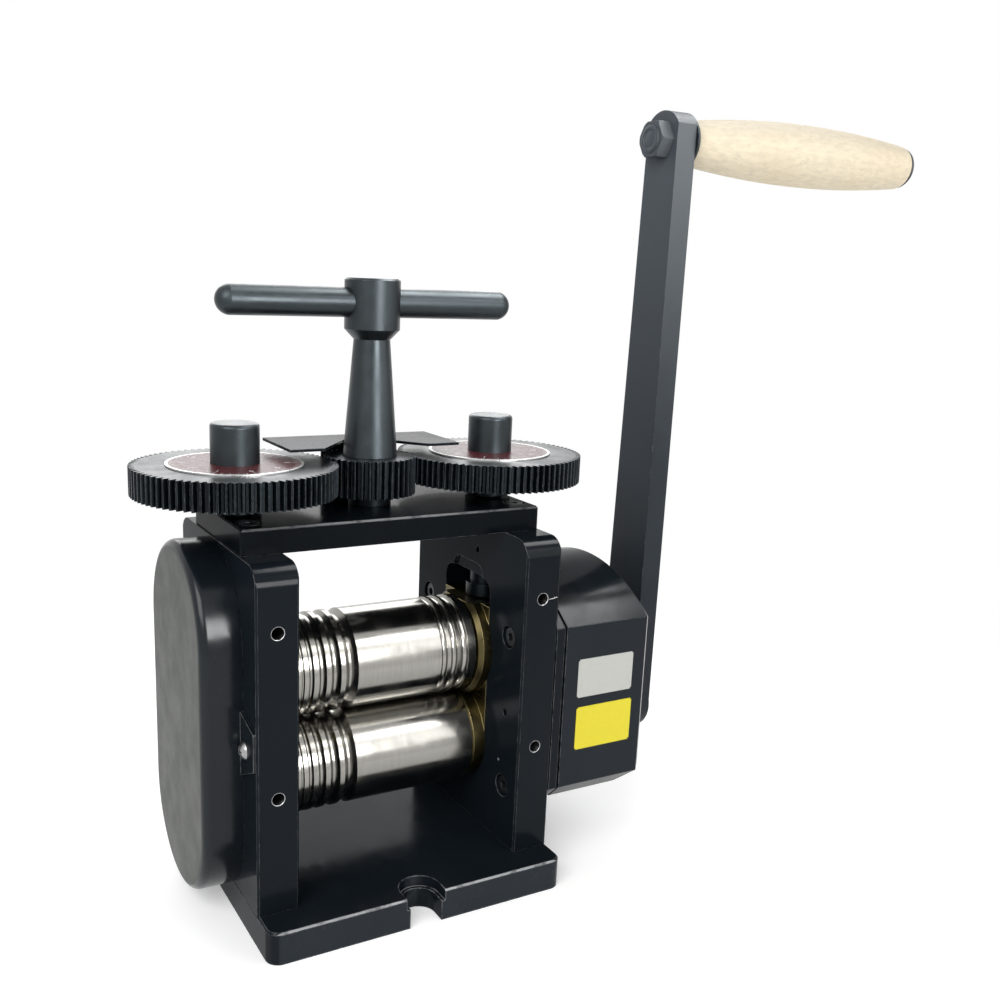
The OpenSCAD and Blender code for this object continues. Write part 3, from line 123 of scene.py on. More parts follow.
class MillFinish(PropertyGroup):
    enamel: colour("Enamel", (0.0062, 0.0092, 0.0125), "Gloss black enamel of the frame")
    crank_paint: colour("Crank paint", (0.015, 0.020, 0.026), "Semi-matt paint of the crank arm")
    # Painted light: the next two colours make the crank arm lighter higher up, most on its narrow
    # sides
    crank_dust: colour("Crank dust", (0.062, 0.073, 0.085), "Dust high on the arm's broad sides")
    crank_bloom: colour("Crank bloom", (0.165, 0.182, 0.195), "Dust high on its narrow sides")
    oxide: colour("Black oxide", (0.030, 0.037, 0.041), "Blackened steel of the T-handle")
    gear_oxide: colour("Gear oxide", (0.003, 0.007, 0.010), "Blackened steel of the gears")
    # Painted sheen: the cover's outer flat face is painted lighter for the light that it catches
    film: colour("Cover film", (0.052, 0.057, 0.051), "Dull film on the cover's flat side")
    # Painted sheen: the base's and gearbox's front faces are painted lighter for the light that
    # they catch
    haze: colour("Haze", (0.050, 0.060, 0.072), "Thin haze on the base's and gearbox's front")
    steel: colour("Steel", (0.33, 0.322, 0.298), "Ground steel of the rolls")
    plain_steel: colour("Turned steel", (0.36, 0.36, 0.36), "Plain turned steel")
    bronze: colour("Bronze", (0.100, 0.082, 0.038), "Bearing bronze")
    maroon: colour("Dial face", (0.070, 0.012, 0.014), "Face of the dials")
    wood: colour("Wood", (0.86, 0.76, 0.58), "Pale beech of the grip")
    white_label: colour("White label", (0.517, 0.523, 0.488), "Bare white label")
    yellow_label: colour("Yellow label", (0.77, 0.66, 0.012), "Bare yellow label")


class MillTrim(PropertyGroup):
    label_thickness: length("Label thickness", 0.00025, "Thickness of the two labels")
    dial_rim: length("Dial rim", 0.0014, "Width of the silver rim of a dial")
    dial_marks: IntProperty(name="Dial marks", default=50, min=10, max=100,
                            description="Number of marks round each dial")
    mark_length: length("Mark length", 0.0022, "Length of a short mark on a dial")
    mark_inset: length("Mark inset", 0.0004, "Gap between a dial's rim and its marks")
    number_size: length("Number size", 0.0044, "Size of the numbers on a dial")
    number_inset: length("Number inset", 0.0068, "Gap between a dial's rim and its numbers")
    thread_pitch: length("Thread pitch", 0.00125, "Pitch of the threads in the tapped holes")
    thread_height: length("Thread height", 0.0003, "Height of the thread ridge in the holes")
    thread_turns: IntProperty(name="Thread turns", default=12, min=2, max=14,
                              description="Turns of thread that are shown in each hole")
    rim_width: length("Bare rim", 0.00024, "Width of the bare metal rim in a tapped hole")


class MillStage(PropertyGroup):
    camera_place: FloatVectorProperty(name="Camera", default=(-0.23651, -0.52380, 0.32726),
                                      subtype="TRANSLATION", unit="LENGTH",
                                      description="Place of the camera")
    camera_yaw: FloatProperty(name="Yaw", default=math.radians(29.806), subtype="ANGLE",
                              description="Turn of the camera from +Y towards +X")
    camera_pitch: FloatProperty(name="Pitch", default=math.radians(13.326), subtype="ANGLE",
                                description="Tilt of the camera below level")
    camera_roll: FloatProperty(name="Roll", default=math.radians(2.231), subtype="ANGLE",
                               description="Roll of the camera")
    focal_px: FloatProperty(name="Focal length", default=1091.42,
                            description="Focal length in pixels of a 1000 pixel wide image")
    centre_x: FloatProperty(name="Centre X", default=471.0,
                            description="Pixel column of the lens axis in that image")
    centre_y: FloatProperty(name="Centre Y", default=534.1,
                            description="Pixel row of the lens axis in that image")


IMAGE_PX = 1000
SENSOR_MM = 36


# Node building


class Tree:
    """A material with short calls for its nodes."""

    def __init__(self, name):
        self.material = bpy.data.materials.new(name)
        self.material.use_nodes = True
        self.nodes = self.material.node_tree.nodes
        self.links = self.material.node_tree.links
        self.shader = self.nodes["Principled BSDF"]
        self.output = self.nodes["Material Output"]

    def put(self, kind, settings=None, **inputs):
        made = self.nodes.new("ShaderNode" + kind)
        for key, value in (settings or {}).items():
            setattr(made, key, value)
        for key, value in inputs.items():
            self.feed(made.inputs[key.replace("_", " ")], value)
        return made

    def feed(self, socket, value):
        if isinstance(value, bpy.types.NodeSocket):
            self.links.new(value, socket)
        elif isinstance(value, bpy.types.Node):
            self.links.new(value.outputs[0], socket)
        elif hasattr(socket.default_value, "__len__") and len(socket.default_value) == 4:
            socket.default_value = (*value[:3], 1)
        else:
            socket.default_value = value

    def place(self, scale=(1, 1, 1)):
        """Object coordinates, stretched along the axes."""
        where = self.put("TexCoord").outputs["Object"]
        if scale == (1, 1, 1):
            return where
        return self.put("Mapping", Vector=where, Scale=scale).outputs[0]

    def noise(self, where, scale, detail=3.0, rough=0.5):
        return self.put("TexNoise", Vector=where, Scale=scale, Detail=detail,
                        Roughness=rough).outputs["Fac"]

    def ramp(self, value, low, high, to_low=0.0, to_high=1.0):
        """Maps a value's range to another one, held at its ends."""
        made = self.put("MapRange", {"interpolation_type": "SMOOTHSTEP"}, Value=value)
        for key, number in (("From Min", low), ("From Max", high), ("To Min", to_low),
                            ("To Max", to_high)):
            self.feed(made.inputs[key], number)
        return made.outputs[0]

    def math(self, kind, first, second=0.0, third=0.0):
        made = self.put("Math", {"operation": kind})
        for socket, value in zip(made.inputs, (first, second, third)):
            self.feed(socket, value)
        return made.outputs[0]

    def mix(self, share, first, second):
        made = self.put("Mix", {"data_type": "RGBA"})
        self.feed(made.inputs[0], share)
        self.feed(made.inputs[6], first)
        self.feed(made.inputs[7], second)
        return made.outputs[2]

    def bump(self, height, distance, strength=1.0, base=None):
        made = self.put("Bump", Height=height, Distance=distance, Strength=strength)
        if base is not None:
            self.feed(made.inputs["Normal"], base)
        return made.outputs[0]

    def rounded(self, radius):
        """Normal that rounds sharp edges by a small radius."""
        return self.put("Bevel", {"samples": 6}, Radius=radius).outputs[0]

    def edges(self, radius, breadth=0.25):
        """One on sharp edges and zero on faces."""
        soft = self.put("Bevel", {"samples": 6}, Radius=radius).outputs[0]
        hard = self.put("NewGeometry").outputs["Normal"]
        same = self.put("VectorMath", {"operation": "DOT_PRODUCT"})
        self.feed(same.inputs[0], soft)
        self.feed(same.inputs[1], hard)
        return self.ramp(same.outputs["Value"], 1.0 - breadth, 1.0 - breadth * 0.2, 1.0, 0.0)

    def finish(self, **inputs):
        for key, value in inputs.items():
            self.feed(self.shader.inputs[key.replace("_", " ")], value)
        return self.material


def tinted(base, factor):
    return tuple(min(1.0, part * factor) for part in base)


def paint(material, *nodes):
    """Gives CAD nodes a material in all their slots."""
    for name in nodes:
        made = frame["nodes"][name]
        if not made.data.materials:
            made.data.materials.append(material)
        for index in range(len(made.data.materials)):
            made.data.materials[index] = material


# Materials


def enamel_material(tone, name, gloss, film=None, axis=0, share=0.0, limit=1.0, waves=0.0,
                    worn=0.0005, lip=None):
    """Gloss black enamel: slight orange peel, dust, worn edges and chips.

    A film lies by its share on sides that face along an axis, up to a limit on that axis; this
    film is a painted sheen, for the light that those faces catch.
    Waves are the height of the shallow waves in pressed sheet, worn is the radius of the worn
    edges, and a lip holds the limits of a painted highlight, a light line of bare metal colour
    along a front top edge.
    """
    tree = Tree(name)
    where = tree.place()
    cloud = tree.noise(where, 22, 4)
    dust = tree.noise(where, 900, 2)
    wear = tree.math("MULTIPLY", tree.edges(worn, 0.10),
                     tree.ramp(tree.noise(where, 160, 5, 0.7), 0.34, 0.60))
    chips = tree.ramp(tree.put("TexVoronoi", Vector=where, Scale=34).outputs["Distance"],
                      0.018, 0.034, 1.0, 0.0)
    chips = tree.math("MULTIPLY", chips, tree.ramp(tree.noise(where, 9, 1), 0.49, 0.54))
    bare = tree.math("MAXIMUM", tree.math("MULTIPLY", wear, 0.6), chips)
    # Painted highlight: a light line of bare metal colour along the front top edge, inside the
    # lip's limits
    if lip is not None:
        front, top, rubbed = lip
        spot = tree.put("SeparateXYZ", Vector=where)
        line = tree.math("MULTIPLY", tree.math("LESS_THAN", spot.outputs[1], front),
                         tree.math("GREATER_THAN", spot.outputs[2], top))
        edge_highlight = tree.ramp(tree.noise(where, 210, 4), 0.30, 0.52, rubbed * 0.35, rubbed)
        bare = tree.math("MAXIMUM", bare, tree.math("MULTIPLY", line, edge_highlight))
    base = tree.mix(cloud, tinted(tone, 0.8), tinted(tone, 1.25))
    base = tree.mix(tree.ramp(dust, 0.66, 0.80, 0, 0.35), base, DUST)
    rough = tree.ramp(tree.noise(where, 60, 5, 0.6), 0.3, 0.75, 0.13, 0.24)
    # Painted sheen: faces along the axis, up to the limit, take the lighter film colour for the
    # light that they catch
    if film is not None:
        facing = tree.put("SeparateXYZ", Vector=tree.put("TexCoord").outputs["Normal"])
        flat = tree.ramp(tree.math("ABSOLUTE", facing.outputs[axis]), 0.90, 0.995, 0, share)
        reach = tree.put("SeparateXYZ", Vector=where).outputs[axis]
        flat = tree.math("MULTIPLY", flat, tree.math("LESS_THAN", reach, limit))
        base = tree.mix(flat, base, tree.mix(cloud, tinted(film, 0.86), tinted(film, 1.12)))
        rough = tree.math("ADD", rough, tree.math("MULTIPLY", flat, 0.2))
    # Worn edges and chips take the bare metal colour, and so does the painted edge highlight
    base = tree.mix(bare, base, BARE_UNDER_PAINT)
    side = tree.put("SeparateXYZ", Vector=tree.put("TexCoord").outputs["Normal"])
    calm = tree.math("MAXIMUM", tree.math("ABSOLUTE", side.outputs[0]), side.outputs[2])
    shine = tree.ramp(calm, 0.90, 0.995, 0.5, 0.14)
    peel = tree.noise(where, 520, 2)
    normal = tree.bump(peel, 0.00002, 0.5, tree.rounded(0.0007))
    if waves:
        normal = tree.bump(tree.noise(where, 38, 3), waves, 0.6, normal)
    return tree.finish(Base_Color=base, Roughness=rough, Normal=normal, IOR=gloss,
                       Specular_IOR_Level=shine)


def crank_material(finish):
    """Semi-matt paint with fine grain and rubbed edges; painted light makes it lighter higher up,
    most on its narrow sides.
    """
    tree = Tree("crank_paint")
    where = tree.place()
    cloud = tree.noise(where, 30, 5, 0.6)
    wear = tree.math("MULTIPLY", tree.edges(0.0007),
                     tree.ramp(tree.noise(where, 200, 5, 0.7), 0.48, 0.64))
    height = tree.put("SeparateXYZ", Vector=where).outputs[2]
    facing = tree.put("SeparateXYZ", Vector=tree.put("TexCoord").outputs["Normal"]).outputs[1]
    narrow = tree.ramp(tree.math("ABSOLUTE", facing), 0.6, 0.95)
    base = tree.mix(cloud, tinted(finish.crank_paint, 0.8), tinted(finish.crank_paint, 1.25))
    # Painted light, lighter towards the top: with height the paint turns to the upper light
    # colour, and on the narrow sides to the side light colour
    dust = tree.mix(cloud, tinted(finish.crank_dust, 0.85), tinted(finish.crank_dust, 1.15))
    side_light = tree.mix(cloud, tinted(finish.crank_bloom, 0.9), tinted(finish.crank_bloom, 1.1))
    narrow = tree.math("MULTIPLY", narrow, tree.ramp(height, 0.20, 0.44))
    base = tree.mix(tree.ramp(height, 0.12, 0.49), base, tree.mix(narrow, dust, side_light))
    base = tree.mix(tree.math("MULTIPLY", wear, 0.5), base, BARE_UNDER_CRANK_PAINT)
    rough = tree.ramp(cloud, 0.3, 0.7, 0.36, 0.50)
    grain = tree.noise(where, 1500, 3)
    normal = tree.bump(grain, 0.00002, 0.6, tree.rounded(0.0007))
    return tree.finish(Base_Color=base, Roughness=rough, Normal=normal, IOR=1.25)


def oxide_material(name, tone, rubbed):
    """Blackened steel, brighter where hands and teeth have rubbed its edges."""
    tree = Tree(name)
    where = tree.place()
    cloud = tree.noise(where, 45, 5, 0.65)
    wear = tree.math("MULTIPLY", tree.edges(0.0003, 0.15),
                     tree.ramp(tree.noise(where, 420, 4, 0.7), 0.62 - rubbed, 0.72 - rubbed / 3))
    marks = tree.ramp(tree.noise(where, 700, 3, 0.6), 0.68, 0.78)
    base = tree.mix(cloud, tinted(tone, 0.7), tinted(tone, 1.35))
    base = tree.mix(tree.math("MAXIMUM", tree.math("MULTIPLY", wear, 0.6),
                              tree.math("MULTIPLY", marks, 0.2)), base, BARE_UNDER_OXIDE)
    rough = tree.ramp(cloud, 0.3, 0.75, 0.28, 0.46)
    grain = tree.noise(where, 1300, 3, 0.6)
    normal = tree.bump(grain, 0.00003, 0.5, tree.rounded(0.0003))
    return tree.finish(Base_Color=base, Metallic=0.75, Roughness=rough, Normal=normal)


def roll_material(finish):
    """Ground steel: grinding lines run round the roll."""
    tree = Tree("ground_roll_steel")
    where = tree.place()
    lines = tree.noise(tree.place((1, 0.02, 0.02)), 2600, 4, 0.6)
    cloud = tree.noise(where, 90, 4, 0.6)
    pits = tree.ramp(tree.noise(where, 1100, 2), 0.70, 0.78)
    base = tree.mix(tree.ramp(lines, 0.3, 0.7), tinted(finish.steel, 0.86), finish.steel)
    base = tree.mix(tree.math("MULTIPLY", pits, 0.5), base, (0.18, 0.17, 0.16))
    rough = tree.ramp(cloud, 0.3, 0.7, 0.14, 0.22)
    normal = tree.bump(tree.math("ADD", lines, tree.math("MULTIPLY", pits, -0.6)), 0.000006, 0.7,
                       tree.rounded(0.00025))
    return tree.finish(Base_Color=base, Metallic=1.0, Roughness=rough, Normal=normal)


def plain_steel_material(finish):
    """Turned steel with tool marks and light tarnish."""
    tree = Tree("turned_steel")
    where = tree.place()
    cloud = tree.noise(where, 120, 5, 0.6)
    base = tree.mix(cloud, tinted(finish.plain_steel, 0.6), tinted(finish.plain_steel, 1.3))
    rough = tree.ramp(cloud, 0.3, 0.7, 0.28, 0.42)
    normal = tree.bump(tree.noise(where, 1700, 2), 0.00002, 0.5, tree.rounded(0.0003))
    return tree.finish(Base_Color=base, Metallic=1.0, Roughness=rough, Normal=normal)


def bronze_material(finish):
    """Machined bronze with a painted highlight on its edges and darker oil stains."""
    tree = Tree("bearing_bronze")
    where = tree.place()
    stain = tree.noise(where, 70, 5, 0.65)
    base = tree.mix(stain, tinted(finish.bronze, 0.55), tinted(finish.bronze, 1.25))
    # Painted highlight: the edges take a much lighter bronze
    base = tree.mix(tree.edges(0.0004, 0.15), base, tinted(finish.bronze, 5.6))
    rough = tree.ramp(stain, 0.3, 0.7, 0.24, 0.38)
    turning = tree.noise(where, 1500, 2)
    normal = tree.bump(turning, 0.00002, 0.4, tree.rounded(0.0003))
    return tree.finish(Base_Color=base, Metallic=1.0, Roughness=rough, Normal=normal)


def dial_material(finish, trim, node):
    """Dial plate: maroon face with a fine mottle, silver rim and edge."""
    tree = Tree(node + "_plate")
    low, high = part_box(node)
    middle, radius = (low + high) / 2, (high.x - low.x) / 2
    where = tree.place()
    parts = tree.put("SeparateXYZ", Vector=where)
    along = tree.math("SUBTRACT", parts.outputs[0], middle.x)
    across = tree.math("SUBTRACT", parts.outputs[1], middle.y)
    reach = tree.math("SQRT", tree.math("ADD", tree.math("MULTIPLY", along, along),
                                        tree.math("MULTIPLY", across, across)))
    rim = tree.ramp(reach, radius - trim.dial_rim - 0.0002, radius - trim.dial_rim)
    mottle = tree.noise(where, 380, 3)
    face = tree.mix(mottle, tinted(finish.maroon, 0.75), tinted(finish.maroon, 1.35))
    silver = tree.mix(mottle, (0.52, 0.52, 0.52), (0.70, 0.70, 0.69))
    base = tree.mix(rim, face, silver)
    rough = tree.ramp(mottle, 0.3, 0.7, 0.26, 0.36)
    normal = tree.bump(mottle, 0.00001, 0.4, tree.rounded(0.0002))
    return tree.finish(Base_Color=base, Metallic=tree.math("MULTIPLY", rim, 0.8),
                       Roughness=rough, Normal=normal, IOR=1.25)


def wood_material(finish):
    """Pale beech: fine short flecks, a faint warm cloud, and painted shade that makes the upper
    side greyer.
    """
    tree = Tree("pale_beech")
    where = tree.place()
    grain = tree.noise(tree.place((0.35, 1, 1)), 420, 5, 0.6)
    flecks = tree.noise(tree.place((0.22, 1, 1)), 1300, 2)
    warm = tree.noise(where, 22, 3)
    base = tree.mix(tree.ramp(grain, 0.36, 0.66), tinted(finish.wood, 1.06),
                    tinted(finish.wood, 0.93))
    base = tree.mix(tree.ramp(warm, 0.45, 0.75, 0, 0.28), base, (0.80, 0.64, 0.43))
    base = tree.mix(tree.ramp(flecks, 0.66, 0.74, 0, 0.45), base, (0.46, 0.31, 0.17))
    # Painted shade: faces that look up are painted greyer
    upper = tree.put("SeparateXYZ", Vector=tree.put("TexCoord").outputs["Normal"]).outputs[2]
    base = tree.mix(tree.ramp(upper, 0.1, 0.95, 0, 0.55), base, tinted(finish.wood, 0.55))
    rough = tree.ramp(grain, 0.3, 0.7, 0.52, 0.64)
    normal = tree.bump(grain, 0.00003, 0.4, tree.rounded(0.0006))
    return tree.finish(Base_Color=base, Roughness=rough, Normal=normal, IOR=1.2)


def label_material(name, base):
    """Printed film: a plain colour with a faint sheen and uneven ink."""
    tree = Tree(name)
    where = tree.place()
    ink = tree.noise(where, 420, 3)
    shade = tree.mix(ink, tinted(base, 0.95), tinted(base, 1.03))
    rough = tree.ramp(tree.noise(where, 90, 3), 0.3, 0.7, 0.30, 0.42)
    normal = tree.bump(ink, 0.00001, 0.3)
    return tree.finish(Base_Color=shade, Roughness=rough, Normal=normal)


def bare_metal_material(name, light):
    """Cut steel of hole rims, threads and scratches."""
    tree = Tree(name)
    grain = tree.noise(tree.place(), 800, 3)
    shade = tree.mix(grain, (light * 0.62,) * 3, (light,) * 3)
    rough = tree.ramp(grain, 0.3, 0.7, 0.28, 0.42)
    return tree.finish(Base_Color=shade, Metallic=1.0, Roughness=rough)


def mark_material():
    """Silver-white print of the dial marks."""
    tree = Tree("dial_print")
    ink = tree.noise(tree.place(), 900, 2)
    shade = tree.mix(ink, (0.50, 0.48, 0.47), (0.70, 0.69, 0.68))
    return tree.finish(Base_Color=shade, Roughness=0.4)


# Mesh building


def add_object(name, mesh, material, body):
    """Puts a mesh in the scene as a piece that rides on a body."""
    mesh.materials.append(material)
    made = bpy.data.objects.new(name, mesh)
    bpy.context.scene.collection.objects.link(made)
    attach(made, body)
    return made


def mesh_from(name, work):
    mesh = bpy.data.meshes.new(name)
    bmesh.ops.recalc_face_normals(work, faces=work.faces)
    work.to_mesh(mesh)
    work.free()
    return mesh


def tapped_holes():
    """Mouths of the tapped holes, from the record's bolt pattern, and their radius."""
    pattern = next(row for row in frame["record"]["mounts"] if row["name"] == "front_holes")
    middle, dims = Vector(pattern["pos_m"]), pattern["dims"]
    return [(middle + Vector((side * dims["spacing_x_mm"] / 2 * MM, 0,
                              level * dims["spacing_y_mm"] / 2 * MM)), dims["hole_r_mm"] * MM)
            for side in (-1, 1) for level in (-1, 1)]


def turns(sides):
    """Angles of a circle's corners."""
    return [math.tau * side / sides for side in range(sides)]


def sweep_rings(work, rings, closed):
    """Joins rings of corners into a skin, either round or with its two ends capped."""
    rings = [[work.verts.new(point) for point in ring] for ring in rings]
    pairs = list(zip(rings, rings[1:]))
    if closed:
        pairs.append((rings[-1], rings[0]))
    for first, second in pairs:
        for here in range(len(first)):
            there = (here + 1) % len(first)
            work.faces.new((first[here], first[there], second[there], second[here]))
    if not closed:
        work.faces.new(rings[0])
        work.faces.new(rings[-1])


# Operators


class MILL_OT_paint_frame(Operator):
    """Paint the base, cheeks, plates and covers"""
    bl_idname = "mill.paint_frame"
    bl_label = "Paint Frame"

    def execute(self, context):
        finish = context.scene.mill_finish
        paint(enamel_material(finish.enamel, "gloss_black_enamel", 1.18), "left_cheek",
              "right_cheek", "gearbox_flange_plate", "pointer_plate")
        # Painted shade: the top plate takes a darker copy of the frame's enamel; a painted
        # highlight runs along its front top edge
        paint(enamel_material(tinted(finish.enamel, 0.6), "top_plate_enamel", 1.14,
                              lip=self.lip_of("top_plate", 0.45)), "top_plate")
        # Painted sheen on the cover's outer flat face, which faces along X
        outer_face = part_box("gear_cover")[0].x
        paint(enamel_material(finish.enamel, "gear_cover_enamel", 1.34, finish.film, 0, 0.9,
                              outer_face + 0.002, 0.0004), "gear_cover")
        # Painted light on the base: a sheen on its front faces and a highlight along its front top
        # edge
        paint(enamel_material(finish.enamel, "base_enamel", 1.2, finish.haze, 1, 0.35,
                              worn=0.0011, lip=self.lip_of("base_plate", 0.95)), "base_plate")
        # Painted sheen on the gearbox's front faces
        paint(enamel_material(finish.enamel, "gearbox_enamel", 1.2, finish.haze, 1, 0.2),
              "gearbox_housing")
        paint(crank_material(finish), "crank_arm", "handle_bolt")
        return {"FINISHED"}

    def lip_of(self, node, share):
        """Front and top limits of a plate's painted edge highlight, and how strong it is."""
        low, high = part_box(node)
        return low.y + HIGHLIGHT_BAND, high.z - HIGHLIGHT_BAND, share


class MILL_OT_finish_steel(Operator):
    """Give the rolls, gears, handle parts, shafts and screws their steel"""
    bl_idname = "mill.finish_steel"
    bl_label = "Finish Steel"

    def execute(self, context):
        finish = context.scene.mill_finish
        paint(roll_material(finish), "lower_roll", "upper_roll")
        blackened = [row["node"] for row in frame["record"]["subparts"]
                     if row["material_slot"] == "black_oxide"]
        # The spindles take the near-black gear oxide: partly their own dark steel, partly painted
        # shade inside the cheeks' windows
        gears = [node for node in blackened
                 if "spindle" in node or "gear" in node and "screws" not in node]
        paint(oxide_material("gear_oxide_steel", finish.gear_oxide, 0.30), *gears)
        paint(oxide_material("black_oxide_steel", finish.oxide, 0.22),
              *[node for node in blackened if node not in (*gears, "handle_bolt")])
        paint(plain_steel_material(finish), *[
            row["node"] for row in frame["record"]["subparts"]
            if row["material_slot"] in ("bare_steel", "spring_steel")],
            "gear_cover_screws", "pointer_plate_screws")
        return {"FINISHED"}


class MILL_OT_finish_bearings(Operator):
    """Give the bearings and bushes their bronze"""
    bl_idname = "mill.finish_bearings"
    bl_label = "Finish Bearings"

    def execute(self, context):
        paint(bronze_material(context.scene.mill_finish), *[
            row["node"] for row in frame["record"]["subparts"]
            if row["material_slot"] == "bearing_bronze"])
        return {"FINISHED"}


class MILL_OT_make_dials(Operator):
    """Print the two dials with plain marks and numbers"""
    bl_idname = "mill.make_dials"
    bl_label = "Make Dials"

    def execute(self, context):
        finish, trim = context.scene.mill_finish, context.scene.mill_trim
        ink = mark_material()
        for node, body in DIAL_NODES.items():
            paint(dial_material(finish, trim, node), node)
            low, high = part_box(node)
            middle = (low + high) / 2
            top, radius = high.z, (high.x - low.x) / 2 - trim.dial_rim
            work = bmesh.new()
            for mark in range(trim.dial_marks):
                reach = trim.mark_length * (1.7 if mark % 5 == 0 else 1.0)
                self.add_mark(work, middle, top, radius - trim.mark_inset, reach,
                              mark / trim.dial_marks)
            add_object(node + "_marks", mesh_from(node + "_marks", work), ink, body)
            for number in range(trim.dial_marks // 5):
                self.add_number(node, body, ink, middle, top, radius - trim.number_inset,
                                number, number * 5 / trim.dial_marks, trim.number_size)
        return {"FINISHED"}

    def add_mark(self, work, middle, top, radius, reach, turn):
        """Thin raised bar that points at the dial's middle."""
        half, high = 0.00014, 0.00004
        spin = Matrix.Rotation(-turn * math.tau, 4, "Z")
        place = Matrix.Translation((middle.x, middle.y, top + high / 2)) @ spin
        size = Matrix.Diagonal((half * 2, reach, high, 1))
        bmesh.ops.create_cube(work, size=1, matrix=place
                              @ Matrix.Translation((0, reach / 2 - radius, 0)) @ size)

    def add_number(self, node, body, ink, middle, top, radius, number, turn, size):
        """Plain number that reads from outside the dial."""
        name = f"{node}_number_{number}"
        text = bpy.data.curves.new(name, "FONT")
        text.body = str(number)
        text.size = size
        text.align_x = "CENTER"
        text.align_y = "CENTER"
        text.extrude = 0.00002
        holder = bpy.data.objects.new(name + "_text", text)
        mesh = bpy.data.meshes.new_from_object(holder)
        mesh.name = name
        bpy.data.objects.remove(holder)
        mesh.transform(
            Matrix.Translation((middle.x, middle.y, top + text.extrude))
            @ Matrix.Rotation(-turn * math.tau, 4, "Z") @ Matrix.Translation((0, -radius, 0)))
        mesh.materials.clear()
        add_object(name, mesh, ink, body)


class MILL_OT_make_grip(Operator):
    """Give the turned grip its wood, and its bolt a crown and an end washer"""
    bl_idname = "mill.make_grip"
    bl_label = "Make Grip"

    def execute(self, context):
        finish = context.scene.mill_finish
        paint(wood_material(finish), "wooden_handle")
        dark = crank_material(finish)
        self.add_end_washer(dark)
        self.add_bolt_crown(dark)
        return {"FINISHED"}

    def add_bolt_crown(self, dark):
        """Low crown with a ring on the outer face of the grip's bolt head."""
        low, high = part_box("handle_bolt")
        middle = (low + high) / 2
        work = bmesh.new()
        sweep_rings(work, [[Vector((low.x - out, middle.y + reach * math.cos(turn),
                                    middle.z + reach * math.sin(turn)))
                            for turn in turns(48)] for reach, out in CROWN_SECTION], False)
        add_object("grip_bolt_crown", mesh_from("grip_bolt_crown", work), dark, "crank")

    def add_end_washer(self, dark):
        """Domed washer that lies round the end nut against the wood."""
        low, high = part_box("handle_end_nut")
        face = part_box("wooden_handle")[1].x
        middle, inner = (low + high) / 2, (high.z - low.z) / 2 + 0.0002
        work = bmesh.new()
        sweep_rings(work, [[Vector((face + along, middle.y + (inner + reach) * math.cos(turn),
                                    middle.z + (inner + reach) * math.sin(turn)))
                            for reach, along in WASHER_SECTION] for turn in turns(64)], True)
        add_object("grip_end_washer", mesh_from("grip_end_washer", work), dark,
                   "crank")


class MILL_OT_make_labels(Operator):
    """Put two bare labels on the gearbox"""
    bl_idname = "mill.make_labels"
    bl_label = "Make Labels"

    def execute(self, context):
        finish, trim = context.scene.mill_finish, context.scene.mill_trim
        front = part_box("gearbox_housing")[0].y
        for name, (left, right, foot, head) in LABEL_PLACES.items():
            work = bmesh.new()
            place = Matrix.Translation(((left + right) / 2, front - trim.label_thickness / 2,
                                        (foot + head) / 2))
            bmesh.ops.create_cube(work, size=1, matrix=place @ Matrix.Diagonal(
                (right - left, trim.label_thickness, head - foot, 1)))
            upright = [edge for edge in work.edges
                       if abs(edge.verts[0].co.y - edge.verts[1].co.y) > trim.label_thickness / 2]
            bmesh.ops.bevel(work, geom=upright, offset=LABEL_CORNER, segments=4,
                            affect="EDGES")
            mesh = mesh_from(name, work)
            film = label_material(name + "_film", getattr(finish, name))
            add_object(name, mesh, film, "frame")
        return {"FINISHED"}


class MILL_OT_trim_holes(Operator):
    """Thread the tapped holes and bare their rims"""
    bl_idname = "mill.trim_holes"
    bl_label = "Trim Holes"

    def execute(self, context):
        trim = context.scene.mill_trim
        metal = bare_metal_material("bare_cut_steel", 0.6)
        # Near-black steel for the threads in the tapped holes
        dark_thread = bare_metal_material("oily_thread_steel", 0.045)
        for number, (mouth, radius) in enumerate(tapped_holes()):
            work = bmesh.new()
            sides = 48
            profile = ((0.00002, -0.00002), (-trim.rim_width * 0.5, -0.00001),
                       (-trim.rim_width, 0.00012), (0.00002, 0.0003))
            sweep_rings(work, [[self.around(mouth, radius + out, deep, side / sides)
                                for out, deep in profile] for side in range(sides)], True)
            add_object(f"hole_rim_{number}", mesh_from(f"hole_rim_{number}", work), metal,
                       "frame")
            work = bmesh.new()
            half = trim.thread_pitch * 0.42
            rings = []
            for step in range(trim.thread_turns * sides + 1):
                deep = half + 0.0003 + trim.thread_pitch * step / sides
                rings.append([self.around(mouth, radius + out, deep + along, step / sides)
                              for out, along in ((0.0, -half), (-trim.thread_height, -half * 0.1),
                                                 (-trim.thread_height, half * 0.1), (0.0, half))])
            sweep_rings(work, rings, False)
            add_object(f"hole_thread_{number}", mesh_from(f"hole_thread_{number}", work), dark_thread,
                       "frame")
        self.add_scratch(metal)
        return {"FINISHED"}

    def around(self, mouth, radius, deep, turn):
        angle = turn * math.tau
        return mouth + Vector((radius * math.cos(angle), deep, radius * math.sin(angle)))

    def add_scratch(self, metal):
        """Scratch that runs from the right cheek's upper hole to the cheek's edge."""
        mouth, radius = tapped_holes()[-1]
        work = bmesh.new()
        rings = []
        for step in range(SCRATCH_STEPS + 1):
            share = step / SCRATCH_STEPS
            along = radius + SCRATCH_GAP + share * SCRATCH_LENGTH
            rise = -0.0006 + 0.0007 * share + 0.00012 * math.sin(share * 9)
            half = SCRATCH_HALF * (0.35 + math.sin(math.pi * (0.1 + 0.8 * share)) * 0.65)
            rings.append([mouth + Vector((along, deep, rise + up)) for deep, up in
                          ((0.0, -half), (-SCRATCH_DEPTH, -half * 0.4),
                           (-SCRATCH_DEPTH, half * 0.4), (0.0, half))])
        sweep_rings(work, rings, False)
        add_object("cheek_scratch", mesh_from("cheek_scratch", work), metal, "frame")


